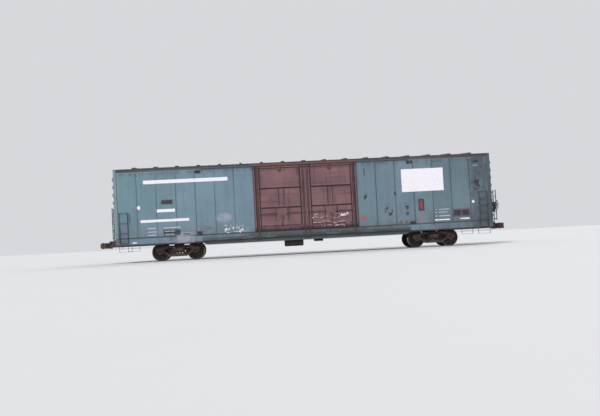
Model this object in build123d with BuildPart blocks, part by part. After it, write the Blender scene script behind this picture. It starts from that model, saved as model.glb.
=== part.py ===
from build123d import *
import os

# Railroad boxcar with two plug doors on each side, corrugated ends and two four-wheel trucks.
# Millimetres. +X runs along the car to the hand brake end, +Y across it, +Z up.
# The origin is at mid-car, on the plane through the lowest points of the wheel flanges.
# "near" is the -Y side and "far" the +Y side; "a" is the -X end and "b" the +X end.

# Running gear
FLANGE_DEPTH = 25
WHEEL_RADIUS = 419
AXLE_Z = WHEEL_RADIUS + FLANGE_DEPTH
TRUCK_X = 6400
HALF_WHEELBASE = 863.5
JOURNAL_Y = 1003
WHEEL_BACK_Y = 678
RIM_WIDTH = 146

# Body shell
END_X = 9330
CORNER_POST = 140
SIDE_Y = 1540
WALL = 120
SILL_BOTTOM = 835
BELLY_BOTTOM = 705
FLOOR_TOP = 1190
FLOOR_BOTTOM = 1120
WALL_TOP = 4405
PLATE_TOP = 4535
EAVE_Z = 4561
RIDGE_Z = 4715
ROOF_SEAMS = 17
ROOF_SEAM_PITCH = 1043

# Side doors
DOOR_HALF = 2438
POST_OUTER = 2566
DOOR_TOP = 4310
DOOR_SILL = 1215
TRACK_HALF = 5125

# Draft gear
PULL_FACE_X = 10250
COUPLER_Z = 901
COUPLER_PIVOT_X = 9350
SILL_END_X = 9830

# Levels and half widths of the underframe
SILL_FLANGE_Y = 1440
PLATE = 16
STRINGER_BOTTOM = 1050
CENTER_HALF = 180
CENTER_BOTTOM = 800
CENTER_FLANGE_Y = 260
PIPE_Y = 380
PIPE_Z = 850
PIPE_R = 21

INNER_X = END_X - CORNER_POST
INNER_Y = SIDE_Y - WALL


def span_box(x, y, z, mode=Mode.ADD):
    """Add or cut a box given by its low and high limits on each axis."""
    with Locations(((x[0] + x[1]) / 2, (y[0] + y[1]) / 2, (z[0] + z[1]) / 2)):
        Box(abs(x[1] - x[0]), abs(y[1] - y[0]), abs(z[1] - z[0]), mode=mode)


def bar_x(x0, x1, y, z, radius, mode=Mode.ADD):
    """Add or cut a round bar along X."""
    with Locations(Location(((x0 + x1) / 2, y, z), (0, 90, 0))):
        Cylinder(radius, abs(x1 - x0), mode=mode)


def bar_y(x, y0, y1, z, radius, mode=Mode.ADD):
    """Add or cut a round bar along Y."""
    with Locations(Location((x, (y0 + y1) / 2, z), (90, 0, 0))):
        Cylinder(radius, abs(y1 - y0), mode=mode)


def bar_z(x, y, z0, z1, radius, mode=Mode.ADD):
    """Add or cut an upright round bar."""
    with Locations((x, y, (z0 + z1) / 2)):
        Cylinder(radius, abs(z1 - z0), mode=mode)


pieces = {}

# Underframe

with BuildPart() as floor:
    span_box((-INNER_X, INNER_X), (-SILL_FLANGE_Y, SILL_FLANGE_Y), (FLOOR_BOTTOM, FLOOR_TOP))
pieces["floor"] = floor

# The centre sill is a hat section, open below, with a striker casting round the coupler at each end.
with BuildPart() as center_sill:
    with BuildSketch(Plane.YZ.offset(-SILL_END_X)):
        with BuildLine():
            Polyline(
                (-CENTER_FLANGE_Y, CENTER_BOTTOM),
                (-CENTER_FLANGE_Y, CENTER_BOTTOM + PLATE),
                (-CENTER_HALF, CENTER_BOTTOM + PLATE),
                (-CENTER_HALF, FLOOR_BOTTOM),
                (CENTER_HALF, FLOOR_BOTTOM),
                (CENTER_HALF, CENTER_BOTTOM + PLATE),
                (CENTER_FLANGE_Y, CENTER_BOTTOM + PLATE),
                (CENTER_FLANGE_Y, CENTER_BOTTOM),
                (CENTER_HALF - PLATE, CENTER_BOTTOM),
                (CENTER_HALF - PLATE, FLOOR_BOTTOM - PLATE),
                (-CENTER_HALF + PLATE, FLOOR_BOTTOM - PLATE),
                (-CENTER_HALF + PLATE, CENTER_BOTTOM),
                close=True,
            )
        make_face()
    extrude(amount=2 * SILL_END_X)
    for end in (-1, 1):
        striker_x = (end * (SILL_END_X - 70), end * SILL_END_X)
        span_box(striker_x, (-230, 230), (750, FLOOR_BOTTOM))
        span_box(striker_x, (-CENTER_HALF + 6, CENTER_HALF - 6), (812, 1010), Mode.SUBTRACT)
pieces["center_sill"] = center_sill

# A bolster half on each side of the centre sill, deepest beside the sill.
BOLSTER_BOTTOM = 740
BOLSTER_HALF = 180
with BuildPart() as body_bolsters:
    for x in (-TRUCK_X, TRUCK_X):
        with BuildSketch(Plane.YZ.offset(x - BOLSTER_HALF)):
            with BuildLine():
                Polyline(
                    (CENTER_HALF, STRINGER_BOTTOM),
                    (CENTER_HALF, CENTER_BOTTOM + PLATE),
                    (CENTER_FLANGE_Y, CENTER_BOTTOM + PLATE),
                    (CENTER_FLANGE_Y, BOLSTER_BOTTOM),
                    (720, BOLSTER_BOTTOM),
                    (900, 790),
                    (SIDE_Y - PLATE, 900),
                    (SIDE_Y - PLATE, STRINGER_BOTTOM),
                    close=True,
                )
            make_face()
            mirror(about=Plane.YZ)
        extrude(amount=2 * BOLSTER_HALF)
        for y in (-635, 635):
            span_box((x - 90, x + 90), (y - 60, y + 60), (704, BOLSTER_BOTTOM))
    for y in (-PIPE_Y, PIPE_Y):
        bar_x(-TRUCK_X - 300, TRUCK_X + 300, y, PIPE_Z, PIPE_R + 9, Mode.SUBTRACT)
pieces["body_bolsters"] = body_bolsters

# Crossbearers tie the side sills to the centre sill; each has a web and a bottom flange.
CROSSBEARER_X = (-4400, -2484, -1300, 1300, 2484, 4400)
CROSSBEARER_LOW = 784
CROSSBEARER_TIP = 880
with BuildPart() as crossbearers:
    for x in CROSSBEARER_X:
        with BuildSketch(Plane.YZ.offset(x - PLATE / 2)):
            with BuildLine():
                Polyline(
                    (CENTER_HALF, STRINGER_BOTTOM),
                    (CENTER_HALF, CENTER_BOTTOM + PLATE),
                    (CENTER_FLANGE_Y, CENTER_BOTTOM + PLATE),
                    (CENTER_FLANGE_Y, CROSSBEARER_LOW),
                    (700, CROSSBEARER_LOW),
                    (SIDE_Y - PLATE, CROSSBEARER_TIP),
                    (SIDE_Y - PLATE, STRINGER_BOTTOM),
                    close=True,
                )
            make_face()
            mirror(about=Plane.YZ)
        extrude(amount=PLATE)
        with BuildSketch(Plane.YZ.offset(x - 75)):
            with BuildLine():
                Polyline(
                    (CENTER_FLANGE_Y, CROSSBEARER_LOW + PLATE),
                    (CENTER_FLANGE_Y, CROSSBEARER_LOW),
                    (700, CROSSBEARER_LOW),
                    (SIDE_Y - PLATE, CROSSBEARER_TIP),
                    (SIDE_Y - PLATE, CROSSBEARER_TIP + PLATE),
                    (700, CROSSBEARER_LOW + PLATE),
                    close=True,
                )
            make_face()
            mirror(about=Plane.YZ)
        extrude(amount=150)
    for y in (-PIPE_Y, PIPE_Y):
        bar_x(-TRUCK_X + 500, TRUCK_X - 500, y, PIPE_Z, PIPE_R + 9, Mode.SUBTRACT)
pieces["crossbearers"] = crossbearers

# Floor stringers are channels that lie on the bolsters and crossbearers and carry the floor.
with BuildPart() as floor_stringers:
    for y in (-1000, -480, 480, 1000):
        span_box((-INNER_X, INNER_X), (y - 40, y + 40), (STRINGER_BOTTOM, FLOOR_BOTTOM))
        span_box((-INNER_X, INNER_X), (y - 30, y + 40), (STRINGER_BOTTOM + 10, FLOOR_BOTTOM - 10), Mode.SUBTRACT)
pieces["floor_stringers"] = floor_stringers

with BuildPart() as end_sills:
    for end in (-1, 1):
        span_box((end * INNER_X, end * END_X), (-SILL_FLANGE_Y, SILL_FLANGE_Y), (880, FLOOR_TOP))
        span_box((end * INNER_X, end * END_X), (-CENTER_HALF, CENTER_HALF), (880, FLOOR_BOTTOM), Mode.SUBTRACT)
pieces["end_sills"] = end_sills

# The side sill is a channel with its web outside, deeper under the doors.
with BuildPart() as side_sills:
    for inset, thickness in ((0, SIDE_Y - SILL_FLANGE_Y), (PLATE, SIDE_Y - SILL_FLANGE_Y - PLATE)):
        with BuildSketch(Plane.XZ.offset(SILL_FLANGE_Y)):
            with BuildLine():
                Polyline(
                    (-END_X + inset, FLOOR_TOP - inset),
                    (END_X - inset, FLOOR_TOP - inset),
                    (END_X - inset, SILL_BOTTOM + inset),
                    (5200, SILL_BOTTOM + inset),
                    (4900, BELLY_BOTTOM + inset),
                    (-4900, BELLY_BOTTOM + inset),
                    (-5200, SILL_BOTTOM + inset),
                    (-END_X + inset, SILL_BOTTOM + inset),
                    close=True,
                )
            make_face()
        extrude(amount=thickness, mode=Mode.SUBTRACT if inset else Mode.ADD)
    mirror(side_sills.part, about=Plane.XZ)
pieces["side_sills"] = side_sills

# Each centre plate hangs under the sill and turns in the bowl of its truck.
CENTER_PLATE_R = 178
BOWL_FLOOR = 650
with BuildPart() as center_plates:
    for x in (-TRUCK_X, TRUCK_X):
        span_box((x - 230, x + 230), (-CENTER_FLANGE_Y, CENTER_FLANGE_Y), (704, CENTER_BOTTOM))
        bar_z(x, 0, BOWL_FLOOR + 1, 704, CENTER_PLATE_R)
pieces["center_plates"] = center_plates

with BuildPart() as jack_pads:
    for x in (-TRUCK_X, TRUCK_X):
        for y in (-1, 1):
            span_box((x - 150, x + 150), (y * SILL_FLANGE_Y, y * SIDE_Y), (SILL_BOTTOM - 24, SILL_BOTTOM))
pieces["jack_pads"] = jack_pads

# Body shell

# Side walls run between the door posts and the corner posts, with a lap strip at each sheet joint.
SEAM_WIDTH = 36
SEAM_PROUD = 4
for end, sign in (("a", -1), ("b", 1)):
    with BuildPart() as wall_near:
        span_box((sign * POST_OUTER, sign * INNER_X), (-SIDE_Y, -INNER_Y), (FLOOR_TOP, WALL_TOP))
        for panel in range(1, 7):
            seam_x = sign * (POST_OUTER + panel * (INNER_X - POST_OUTER) / 7)
            span_box(
                (seam_x - SEAM_WIDTH / 2, seam_x + SEAM_WIDTH / 2),
                (-SIDE_Y - SEAM_PROUD, -SIDE_Y),
                (FLOOR_TOP, WALL_TOP),
            )
    with BuildPart() as wall_far:
        mirror(wall_near.part, about=Plane.XZ)
    pieces["side_wall_near_" + end] = wall_near
    pieces["side_wall_far_" + end] = wall_far

with BuildPart() as door_frame_near:
    span_box((-POST_OUTER, POST_OUTER), (-SIDE_Y, -INNER_Y), (FLOOR_TOP, WALL_TOP))
    span_box((-DOOR_HALF, DOOR_HALF), (-SIDE_Y, -INNER_Y), (DOOR_SILL, DOOR_TOP), Mode.SUBTRACT)
    span_box((-POST_OUTER, POST_OUTER), (-SIDE_Y - 12, -SIDE_Y), (DOOR_TOP + 8, WALL_TOP))
    for sign in (-1, 1):
        span_box(
            (sign * (DOOR_HALF + 24), sign * POST_OUTER), (-SIDE_Y - 12, -SIDE_Y), (FLOOR_TOP, DOOR_TOP + 8)
        )
with BuildPart() as door_frame_far:
    mirror(door_frame_near.part, about=Plane.XZ)
pieces["door_frame_near"] = door_frame_near
pieces["door_frame_far"] = door_frame_far

PLATE_Y = SIDE_Y + 8
with BuildPart() as side_plates:
    for y in (-1, 1):
        span_box((-INNER_X, INNER_X), (y * INNER_Y, y * PLATE_Y), (WALL_TOP, PLATE_TOP))
pieces["side_plates"] = side_plates

# The pressed ends: round corrugations that taper to a point before the corner posts, with a short
# dart between each two of them at both sides. Each is lofted through round-topped sections.
RIB_PITCH = 380
RIB_FIRST = 1440
RIB_COUNT = 8
RIB_TIP = (14, 3)
# Stations of a main rib and of a dart: y, half height, rise.
MAIN_RIB = ((-1490, *RIB_TIP), (-1380, 125, 88), (1380, 125, 88), (1490, *RIB_TIP))
DART = ((1150, *RIB_TIP), (1340, 52, 40), (1450, *RIB_TIP))


def corrugation(stations, rib_z):
    """Loft one pressed rib on the outer face of the end through its stations."""
    sections = []
    for y, half, rise in stations:
        with BuildSketch(Plane.XZ.offset(-y)) as section:
            with BuildLine():
                Line((END_X, rib_z - half), (END_X, rib_z + half))
                ThreePointArc((END_X, rib_z - half), (END_X + rise, rib_z), (END_X, rib_z + half))
            make_face()
        sections.append(section.sketch)
    loft(sections, ruled=True)


with BuildPart() as end_wall_b:
    with BuildSketch(Plane.YZ.offset(INNER_X)):
        with BuildLine():
            Polyline(
                (-SIDE_Y, FLOOR_TOP),
                (SIDE_Y, FLOOR_TOP),
                (SIDE_Y, PLATE_TOP),
                (INNER_Y, PLATE_TOP),
                (0, RIDGE_Z - 55),
                (-INNER_Y, PLATE_TOP),
                (-SIDE_Y, PLATE_TOP),
                close=True,
            )
        make_face()
    extrude(amount=CORNER_POST)
    for row in range(RIB_COUNT):
        corrugation(MAIN_RIB, RIB_FIRST + row * RIB_PITCH)
    for row in range(RIB_COUNT - 1):
        corrugation(DART, RIB_FIRST + (row + 0.5) * RIB_PITCH)
        corrugation([(-y, half, rise) for y, half, rise in DART], RIB_FIRST + (row + 0.5) * RIB_PITCH)
    for y in (-1, 1):
        span_box((INNER_X + 12, END_X), (y * SIDE_Y, y * (SIDE_Y + 8)), (FLOOR_TOP, PLATE_TOP))
with BuildPart() as end_wall_a:
    mirror(end_wall_b.part, about=Plane.YZ)
pieces["end_wall_b"] = end_wall_b
pieces["end_wall_a"] = end_wall_a

# The roof: two shallow slopes, with a standing seam cap over every sheet joint, tallest at the eaves.
ROOF_CAP_WIDTH = 130
ROOF_CAP_EDGE = 56
ROOF_CAP_RIDGE = 24
with BuildPart() as roof:
    with BuildSketch(Plane.YZ.offset(-END_X)):
        with BuildLine():
            Polyline(
                (-PLATE_Y, PLATE_TOP),
                (-PLATE_Y, EAVE_Z),
                (0, RIDGE_Z),
                (PLATE_Y, EAVE_Z),
                (PLATE_Y, PLATE_TOP),
                (INNER_Y, PLATE_TOP),
                (0, RIDGE_Z - 55),
                (-INNER_Y, PLATE_TOP),
                close=True,
            )
        make_face()
    extrude(amount=2 * END_X)
    for seam in range(ROOF_SEAMS):
        cap_x = (seam - (ROOF_SEAMS - 1) / 2) * ROOF_SEAM_PITCH
        with BuildSketch(Plane.YZ.offset(cap_x - ROOF_CAP_WIDTH / 2)):
            with BuildLine():
                Polyline(
                    (-PLATE_Y, EAVE_Z - 10),
                    (-PLATE_Y, EAVE_Z + ROOF_CAP_EDGE),
                    (-PLATE_Y + 60, EAVE_Z + ROOF_CAP_EDGE + 14),
                    (0, RIDGE_Z + ROOF_CAP_RIDGE),
                    (PLATE_Y - 60, EAVE_Z + ROOF_CAP_EDGE + 14),
                    (PLATE_Y, EAVE_Z + ROOF_CAP_EDGE),
                    (PLATE_Y, EAVE_Z - 10),
                    (0, RIDGE_Z - 10),
                    close=True,
                )
            make_face()
        extrude(amount=ROOF_CAP_WIDTH)
    # Each sheet has two raised triangles with a diagonal valley between them on either slope.
    for bay in range(ROOF_SEAMS - 1):
        bay_x = (bay - (ROOF_SEAMS - 2) / 2) * ROOF_SEAM_PITCH
        for side in (-1, 1):
            slope = Plane(
                origin=(bay_x, side * PLATE_Y / 2, (EAVE_Z + RIDGE_Z) / 2),
                x_dir=(1, 0, 0),
                z_dir=(0, side * (RIDGE_Z - EAVE_Z), PLATE_Y),
            )
            with BuildSketch(slope):
                for hand in (-1, 1):
                    with BuildLine():
                        Polyline(
                            (-400 * hand, -640 * hand),
                            (350 * hand, -640 * hand),
                            (-400 * hand, 560 * hand),
                            close=True,
                        )
                    make_face()
            extrude(amount=14, taper=40)
pieces["roof"] = roof

# Plug doors

LEAF_GAP = 6
LEAF_FACE = SIDE_Y + 5
FRAME_FACE = SIDE_Y + 26
# Raised members of a leaf: inner and outer x from mid-car, low and high z.
LEAF_MEMBERS = (
    (LEAF_GAP, 245, DOOR_SILL + 6, DOOR_TOP - 6),
    (2265, DOOR_HALF - LEAF_GAP, DOOR_SILL + 6, DOOR_TOP - 6),
    (260, 2250, 3325, 3405),
    (260, 2250, 2365, 2445),
    (260, 2250, DOOR_SILL + 6, 1465),
    (260, 2250, 4220, DOOR_TOP - 6),
    (1090, 1150, 2445, 3325),
    (1350, 1410, 2445, 3325),
    (930, 1500, 1465, 2365),
)
with BuildPart() as door_near_b:
    span_box((LEAF_GAP, DOOR_HALF - LEAF_GAP), (-LEAF_FACE, -INNER_Y), (DOOR_SILL + 6, DOOR_TOP - 6))
    for x_in, x_out, z_low, z_high in LEAF_MEMBERS:
        span_box((x_in, x_out), (-FRAME_FACE, -LEAF_FACE), (z_low, z_high))
with BuildPart() as door_near_a:
    mirror(door_near_b.part, about=Plane.YZ)
with BuildPart() as door_far_b:
    mirror(door_near_b.part, about=Plane.XZ)
with BuildPart() as door_far_a:
    mirror(door_near_a.part, about=Plane.XZ)
pieces["door_near_a"] = door_near_a
pieces["door_near_b"] = door_near_b
pieces["door_far_a"] = door_far_a
pieces["door_far_b"] = door_far_b

# Lock gear: two upright lock pipes on each leaf with a roller at both ends, turned by rods from the
# gear case and its lever.
LOCK_PIPE_Y = FRAME_FACE + 26
LOCK_PIPE_R = 17
LOCK_PIPE_X = (110, 2375)
LOCK_BEARING_Z = (1340, 2045, 2905, 3365, 4180)
LOCK_ROD_Z = 2045
GEAR_X = 1215
GEAR_Z = 1880
with BuildPart() as lock_gear:
    for sign in (-1, 1):
        for x in LOCK_PIPE_X:
            bar_z(sign * x, -LOCK_PIPE_Y, 1000, 4415, LOCK_PIPE_R)
            bar_z(sign * x, -SIDE_Y - 36, 950, 1020, 20)
            bar_z(sign * x, -PLATE_Y - 30, 4395, 4465, 15)
            for z in LOCK_BEARING_Z:
                span_box((sign * x - 38, sign * x + 38), (-LOCK_PIPE_Y, -FRAME_FACE), (z - 28, z + 28))
        bar_y(sign * GEAR_X, -FRAME_FACE - 42, -FRAME_FACE, GEAR_Z, 95)
        bar_y(sign * GEAR_X, -FRAME_FACE - 26, -FRAME_FACE, 1570, 48)
        with BuildSketch(Plane.XZ.offset(FRAME_FACE + 36)):
            with BuildLine():
                Polyline(
                    (sign * GEAR_X - 34, GEAR_Z + 30),
                    (sign * GEAR_X + 34, GEAR_Z + 30),
                    (sign * GEAR_X + 18, 1445),
                    (sign * GEAR_X - 18, 1445),
                    close=True,
                )
            make_face()
        extrude(amount=16)
        for x_start, x_stop in ((LOCK_PIPE_X[0], 960), (1470, LOCK_PIPE_X[1])):
            bar_x(sign * x_start, sign * x_stop, -LOCK_PIPE_Y + 6, LOCK_ROD_Z, 12)
        for x in (960, 1470):
            span_box(
                (sign * x - 25, sign * x + 25), (-LOCK_PIPE_Y - 8, -FRAME_FACE), (LOCK_ROD_Z - 22, LOCK_ROD_Z + 22)
            )
    mirror(lock_gear.part, about=Plane.XZ)
pieces["lock_gear"] = lock_gear

TRACK_Y = 1610
with BuildPart() as lower_tracks:
    with BuildSketch(Plane.YZ.offset(-TRACK_HALF)):
        with BuildLine():
            Polyline(
                (-SIDE_Y, 905),
                (-SIDE_Y, 1025),
                (-SIDE_Y - 10, 1025),
                (-SIDE_Y - 10, 942),
                (-TRACK_Y + 10, 942),
                (-TRACK_Y + 10, 985),
                (-TRACK_Y, 985),
                (-TRACK_Y, 905),
                close=True,
            )
        make_face()
    extrude(amount=2 * TRACK_HALF)
    for x in (-2430, 0, 2430):
        span_box((x - 150, x + 150), (-TRACK_Y - 12, -TRACK_Y), (880, 1000))
    mirror(lower_tracks.part, about=Plane.XZ)
pieces["lower_tracks"] = lower_tracks

with BuildPart() as upper_tracks:
    with BuildSketch(Plane.YZ.offset(-TRACK_HALF)):
        with BuildLine():
            Polyline(
                (-PLATE_Y, 4425),
                (-PLATE_Y, 4500),
                (-PLATE_Y - 60, 4485),
                (-PLATE_Y - 60, 4425),
                (-PLATE_Y - 48, 4425),
                (-PLATE_Y - 48, 4474),
                (-PLATE_Y - 12, 4482),
                (-PLATE_Y - 12, 4425),
                close=True,
            )
        make_face()
    extrude(amount=2 * TRACK_HALF)
    mirror(upper_tracks.part, about=Plane.XZ)
pieces["upper_tracks"] = upper_tracks

# Ladders, steps and platforms

LADDER_Y = SIDE_Y + 64
# Side ladders of the near side: low and high x, bottom and top z, rungs.
SIDE_LADDERS = (
    (-9120, -8720, 930, 2460, 4),
    (8680, 9080, 880, 2690, 6),
)
with BuildPart() as side_ladders:
    for x_low, x_high, z_low, z_high, rungs in SIDE_LADDERS:
        for x in (x_low, x_high):
            span_box((x - 5, x + 5), (-LADDER_Y, -SIDE_Y), (z_low, z_high))
        for rung in range(rungs):
            rung_z = z_low + 50 + rung * (z_high - z_low - 90) / (rungs - 1)
            bar_x(x_low, x_high, -LADDER_Y + 12, rung_z, 10)
    for z in (2030, 2390):
        bar_y(-8630, -SIDE_Y, -LADDER_Y + 12, z, 10)
    bar_z(-8630, -LADDER_Y + 12, 2020, 2400, 10)
    add(side_ladders.part.rotate(Axis.Z, 180))
pieces["side_ladders"] = side_ladders

# End ladders stand off the corrugations on feet set in the valleys, further out beside the hand brake.
# Each row: the end's sign, distance from the end to the ladder.
END_LADDERS = ((-1, 92), (1, 200))
END_STILE = 44
with BuildPart() as end_ladders:
    for end, standoff in END_LADDERS:
        stile_x = END_X + standoff
        for y_low, y_high in ((-1470, -1070), (1070, 1470)):
            for y in (y_low, y_high):
                span_box((end * stile_x, end * (stile_x + END_STILE)), (y - 5, y + 5), (1180, 2700))
                for z in (1250, 1630, 2010, 2390):
                    span_box((end * END_X, end * stile_x), (y - 5, y + 5), (z - 12, z + 12))
            for rung in range(5):
                bar_y(end * (stile_x + 32), y_low, y_high, 1230 + rung * 355, 10)
pieces["end_ladders"] = end_ladders

with BuildPart() as sill_steps:
    for x in (8560, 9160):
        span_box((x - 6, x + 6), (-SIDE_Y + 10, -SIDE_Y + 60), (545, SILL_BOTTOM))
    span_box((8560, 9160), (-SIDE_Y + 10, -SIDE_Y + 60), (545, 557))
    span_box((8560, 9160), (-SIDE_Y + 10, -SIDE_Y + 60), (700, 712))
    mirror(sill_steps.part, about=Plane.YZ)
    mirror(sill_steps.part, about=Plane.XZ)
pieces["sill_steps"] = sill_steps

# Crossover platforms: bearing bars in a frame, on two brackets.
PLATFORM_TIP = 9550
PLATFORM_HALF = 1000
PLATFORM_BARS = 6
with BuildPart() as end_platforms:
    for bar in range(PLATFORM_BARS):
        bar_at = END_X + bar * (PLATFORM_TIP - END_X - 8) / (PLATFORM_BARS - 1)
        span_box((bar_at, bar_at + 8), (-PLATFORM_HALF, PLATFORM_HALF), (1132, 1162))
    for y in (-994, -800, -400, 0, 400, 800, 994):
        span_box((END_X, PLATFORM_TIP), (y - 6, y + 6), (1132, 1160))
    for y in (-800, 800):
        with BuildSketch(Plane.XZ.offset(-y - 8)):
            with BuildLine():
                Polyline((END_X, 1134), (END_X, 960), (PLATFORM_TIP - 30, 1134), close=True)
            make_face()
        extrude(amount=16)
    add(end_platforms.part.rotate(Axis.Z, 180))
pieces["end_platforms"] = end_platforms

# Hand brake

BRAKE_Y = -960
BRAKE_WHEEL_X = END_X + 420
BRAKE_WHEEL_Z = 1950
BRAKE_WHEEL_R = 240
BRAKE_CASE_BACK = END_X + 140
BRAKE_CASE_FACE = END_X + 345
BRAKE_CASE_HALF = 85
BRAKE_ROD_X = END_X + 255
with BuildPart() as hand_brake:
    with BuildSketch(Plane.XZ.offset(-BRAKE_Y - BRAKE_CASE_HALF)):
        with BuildLine():
            Polyline(
                (BRAKE_CASE_BACK, 1610),
                (BRAKE_CASE_BACK, 2120),
                (BRAKE_CASE_FACE - 70, 2120),
                (BRAKE_CASE_FACE, 2070),
                (BRAKE_CASE_FACE, 1820),
                (BRAKE_CASE_FACE - 60, 1610),
                close=True,
            )
        make_face()
    extrude(amount=2 * BRAKE_CASE_HALF)
    fillet(hand_brake.edges().filter_by(Axis.Z).group_by(Axis.X)[-1], 30)
    for z in (1630, 2010):
        span_box((END_X, BRAKE_CASE_BACK), (BRAKE_Y - 60, BRAKE_Y + 60), (z - 15, z + 15))
    # Its rod pulls a bell crank on a bracket of the end sill, under the platform.
    bar_z(BRAKE_ROD_X, BRAKE_Y, 1040, 1610, 11)
    span_box((END_X, BRAKE_ROD_X - 60), (BRAKE_Y - 24, BRAKE_Y - 12), (1010, 1110))
    bar_y(BRAKE_ROD_X - 90, BRAKE_Y - 12, BRAKE_Y + 12, 1055, 30)
    span_box((BRAKE_ROD_X - 90, BRAKE_ROD_X + 16), (BRAKE_Y - 6, BRAKE_Y + 6), (1030, 1066))
pieces["hand_brake"] = hand_brake

with BuildPart() as brake_wheel:
    with Locations(Location((BRAKE_WHEEL_X, BRAKE_Y, BRAKE_WHEEL_Z), (0, 90, 0))):
        Torus(BRAKE_WHEEL_R, 13)
    bar_x(BRAKE_CASE_FACE, BRAKE_WHEEL_X + 22, BRAKE_Y, BRAKE_WHEEL_Z, 38)
    for turn in range(5):
        with Locations(Location((BRAKE_WHEEL_X, BRAKE_Y, BRAKE_WHEEL_Z), (turn * 72, 0, 0))):
            Box(14, 24, BRAKE_WHEEL_R, align=(Align.CENTER, Align.CENTER, Align.MIN))
pieces["brake_wheel"] = brake_wheel

# Air brake equipment under the floor

TANK_Y = -740
TANK_Z = 600
TANK_R = 190
with BuildPart() as air_reservoir:
    bar_x(-1120, -180, TANK_Y, TANK_Z, TANK_R)
    fillet(air_reservoir.edges().filter_by(GeomType.CIRCLE), 50)
    for x in (-900, -400):
        span_box((x - 8, x + 8), (-1040, -440), (700, STRINGER_BOTTOM))
pieces["air_reservoir"] = air_reservoir

# The cylinder pushes a level lever, which pulls a rod to each truck under the centre sill.
ROD_Z = 722
ROD_Y = 45
CYLINDER_Y = 700
CYLINDER_R = 130
LEVER_X = 1240
with BuildPart() as brake_cylinder:
    bar_x(500, 940, CYLINDER_Y, ROD_Z, CYLINDER_R)
    bar_x(920, 952, CYLINDER_Y, ROD_Z, CYLINDER_R + 18)
    bar_x(940, LEVER_X, CYLINDER_Y, ROD_Z, 20)
    for x in (600, 860):
        span_box((x - 8, x + 8), (440, 1040), (800, STRINGER_BOTTOM))
pieces["brake_cylinder"] = brake_cylinder

with BuildPart() as brake_rods:
    span_box((LEVER_X, LEVER_X + 22), (-ROD_Y - 30, CYLINDER_Y + 40), (ROD_Z - 10, ROD_Z + 10))
    bar_x(-TRUCK_X + 410, LEVER_X + 4, ROD_Y, ROD_Z, 11)
    bar_x(LEVER_X + 4, TRUCK_X - 410, -ROD_Y, ROD_Z, 11)
pieces["brake_rods"] = brake_rods

with BuildPart() as control_valve:
    span_box((-620, -380), (620, 860), (700, 960))
    for y in (560, 920):
        bar_y(-500, 740, y, 800, 70)
    for x in (-560, -440):
        span_box((x - 8, x + 8), (440, 1040), (940, STRINGER_BOTTOM))
pieces["control_valve"] = control_valve

# The train pipe crosses under the centre sill, so that each end has it on the same hand.
with BuildPart() as train_pipe:
    with BuildLine() as pipe_path:
        FilletPolyline(
            (-9640, -PIPE_Y, PIPE_Z),
            (-500, -PIPE_Y, PIPE_Z),
            (-250, -PIPE_Y, 762),
            (250, PIPE_Y, 762),
            (500, PIPE_Y, PIPE_Z),
            (9640, PIPE_Y, PIPE_Z),
            radius=80,
        )
    with BuildSketch(Plane(origin=pipe_path.line @ 0, z_dir=pipe_path.line % 0)):
        Circle(PIPE_R)
    sweep()
pieces["train_pipe"] = train_pipe

with BuildPart() as angle_cocks:
    bar_x(9640, 9760, PIPE_Y, PIPE_Z, 34)
    bar_z(9695, PIPE_Y, PIPE_Z, PIPE_Z + 70, 18)
    span_box((9640, 9705), (PIPE_Y - 8, PIPE_Y + 8), (PIPE_Z + 62, PIPE_Z + 76))
    bar_x(9715, 9760, PIPE_Y, PIPE_Z, 17.5, Mode.SUBTRACT)
    add(angle_cocks.part.rotate(Axis.Z, 180))
pieces["angle_cocks"] = angle_cocks

with BuildPart() as uncoupling_levers:
    with BuildLine() as lever_path:
        FilletPolyline((9440, -1400, 720), (9440, -1400, 970), (9440, -340, 970), (10020, -340, 970), radius=50)
    with BuildSketch(Plane(origin=lever_path.line @ 0, z_dir=lever_path.line % 0)):
        Circle(12)
    sweep()
    for y in (-1250, -430):
        span_box((END_X, 9452), (y - 10, y + 10), (940, 984))
    add(uncoupling_levers.part.rotate(Axis.Z, 180))
pieces["uncoupling_levers"] = uncoupling_levers

# Boards for waybill cards, and the stops at the ends of the door tracks.
BOARDS = (
    (-5380, -5150, 1200, 1370),
    (5140, 5380, 1200, 1330),
    (5600, 5870, 1855, 2405),
    (-5380, -5130, 4225, 4355),
    (5100, 5380, 4225, 4355),
)
with BuildPart() as card_boards:
    for x_low, x_high, z_low, z_high in BOARDS:
        span_box((x_low, x_high), (-SIDE_Y - 24, -SIDE_Y), (z_low, z_high))
    add(card_boards.part.rotate(Axis.Z, 180))
pieces["card_boards"] = card_boards

# Trucks

WINDOW_HALF = 240
WINDOW_TOP = 690
SPRING_SEAT = 300
BOLSTER_LOW = 470
BOLSTER_END_TOP = 640
JAW_HALF = 118
PEDESTAL_ROOF = 575
FRAME_HALF = 70
WEB_HALF = 30
FLANGE = 30
BEARING_R = 111
# Outline of a side frame and of the opening beside its window: x from the truck's middle, z.
FRAME_OUTLINE = (
    (-1085, 470),
    (-1085, 620),
    (-980, 660),
    (-420, 755),
    (420, 755),
    (980, 660),
    (1085, 620),
    (1085, 470),
    (980, 420),
    (660, 380),
    (420, 205),
    (-420, 205),
    (-660, 380),
    (-980, 420),
)
SIDE_OPENING = ((325, 655), (325, 340), (420, 320), (630, 480), (630, 585))

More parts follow.
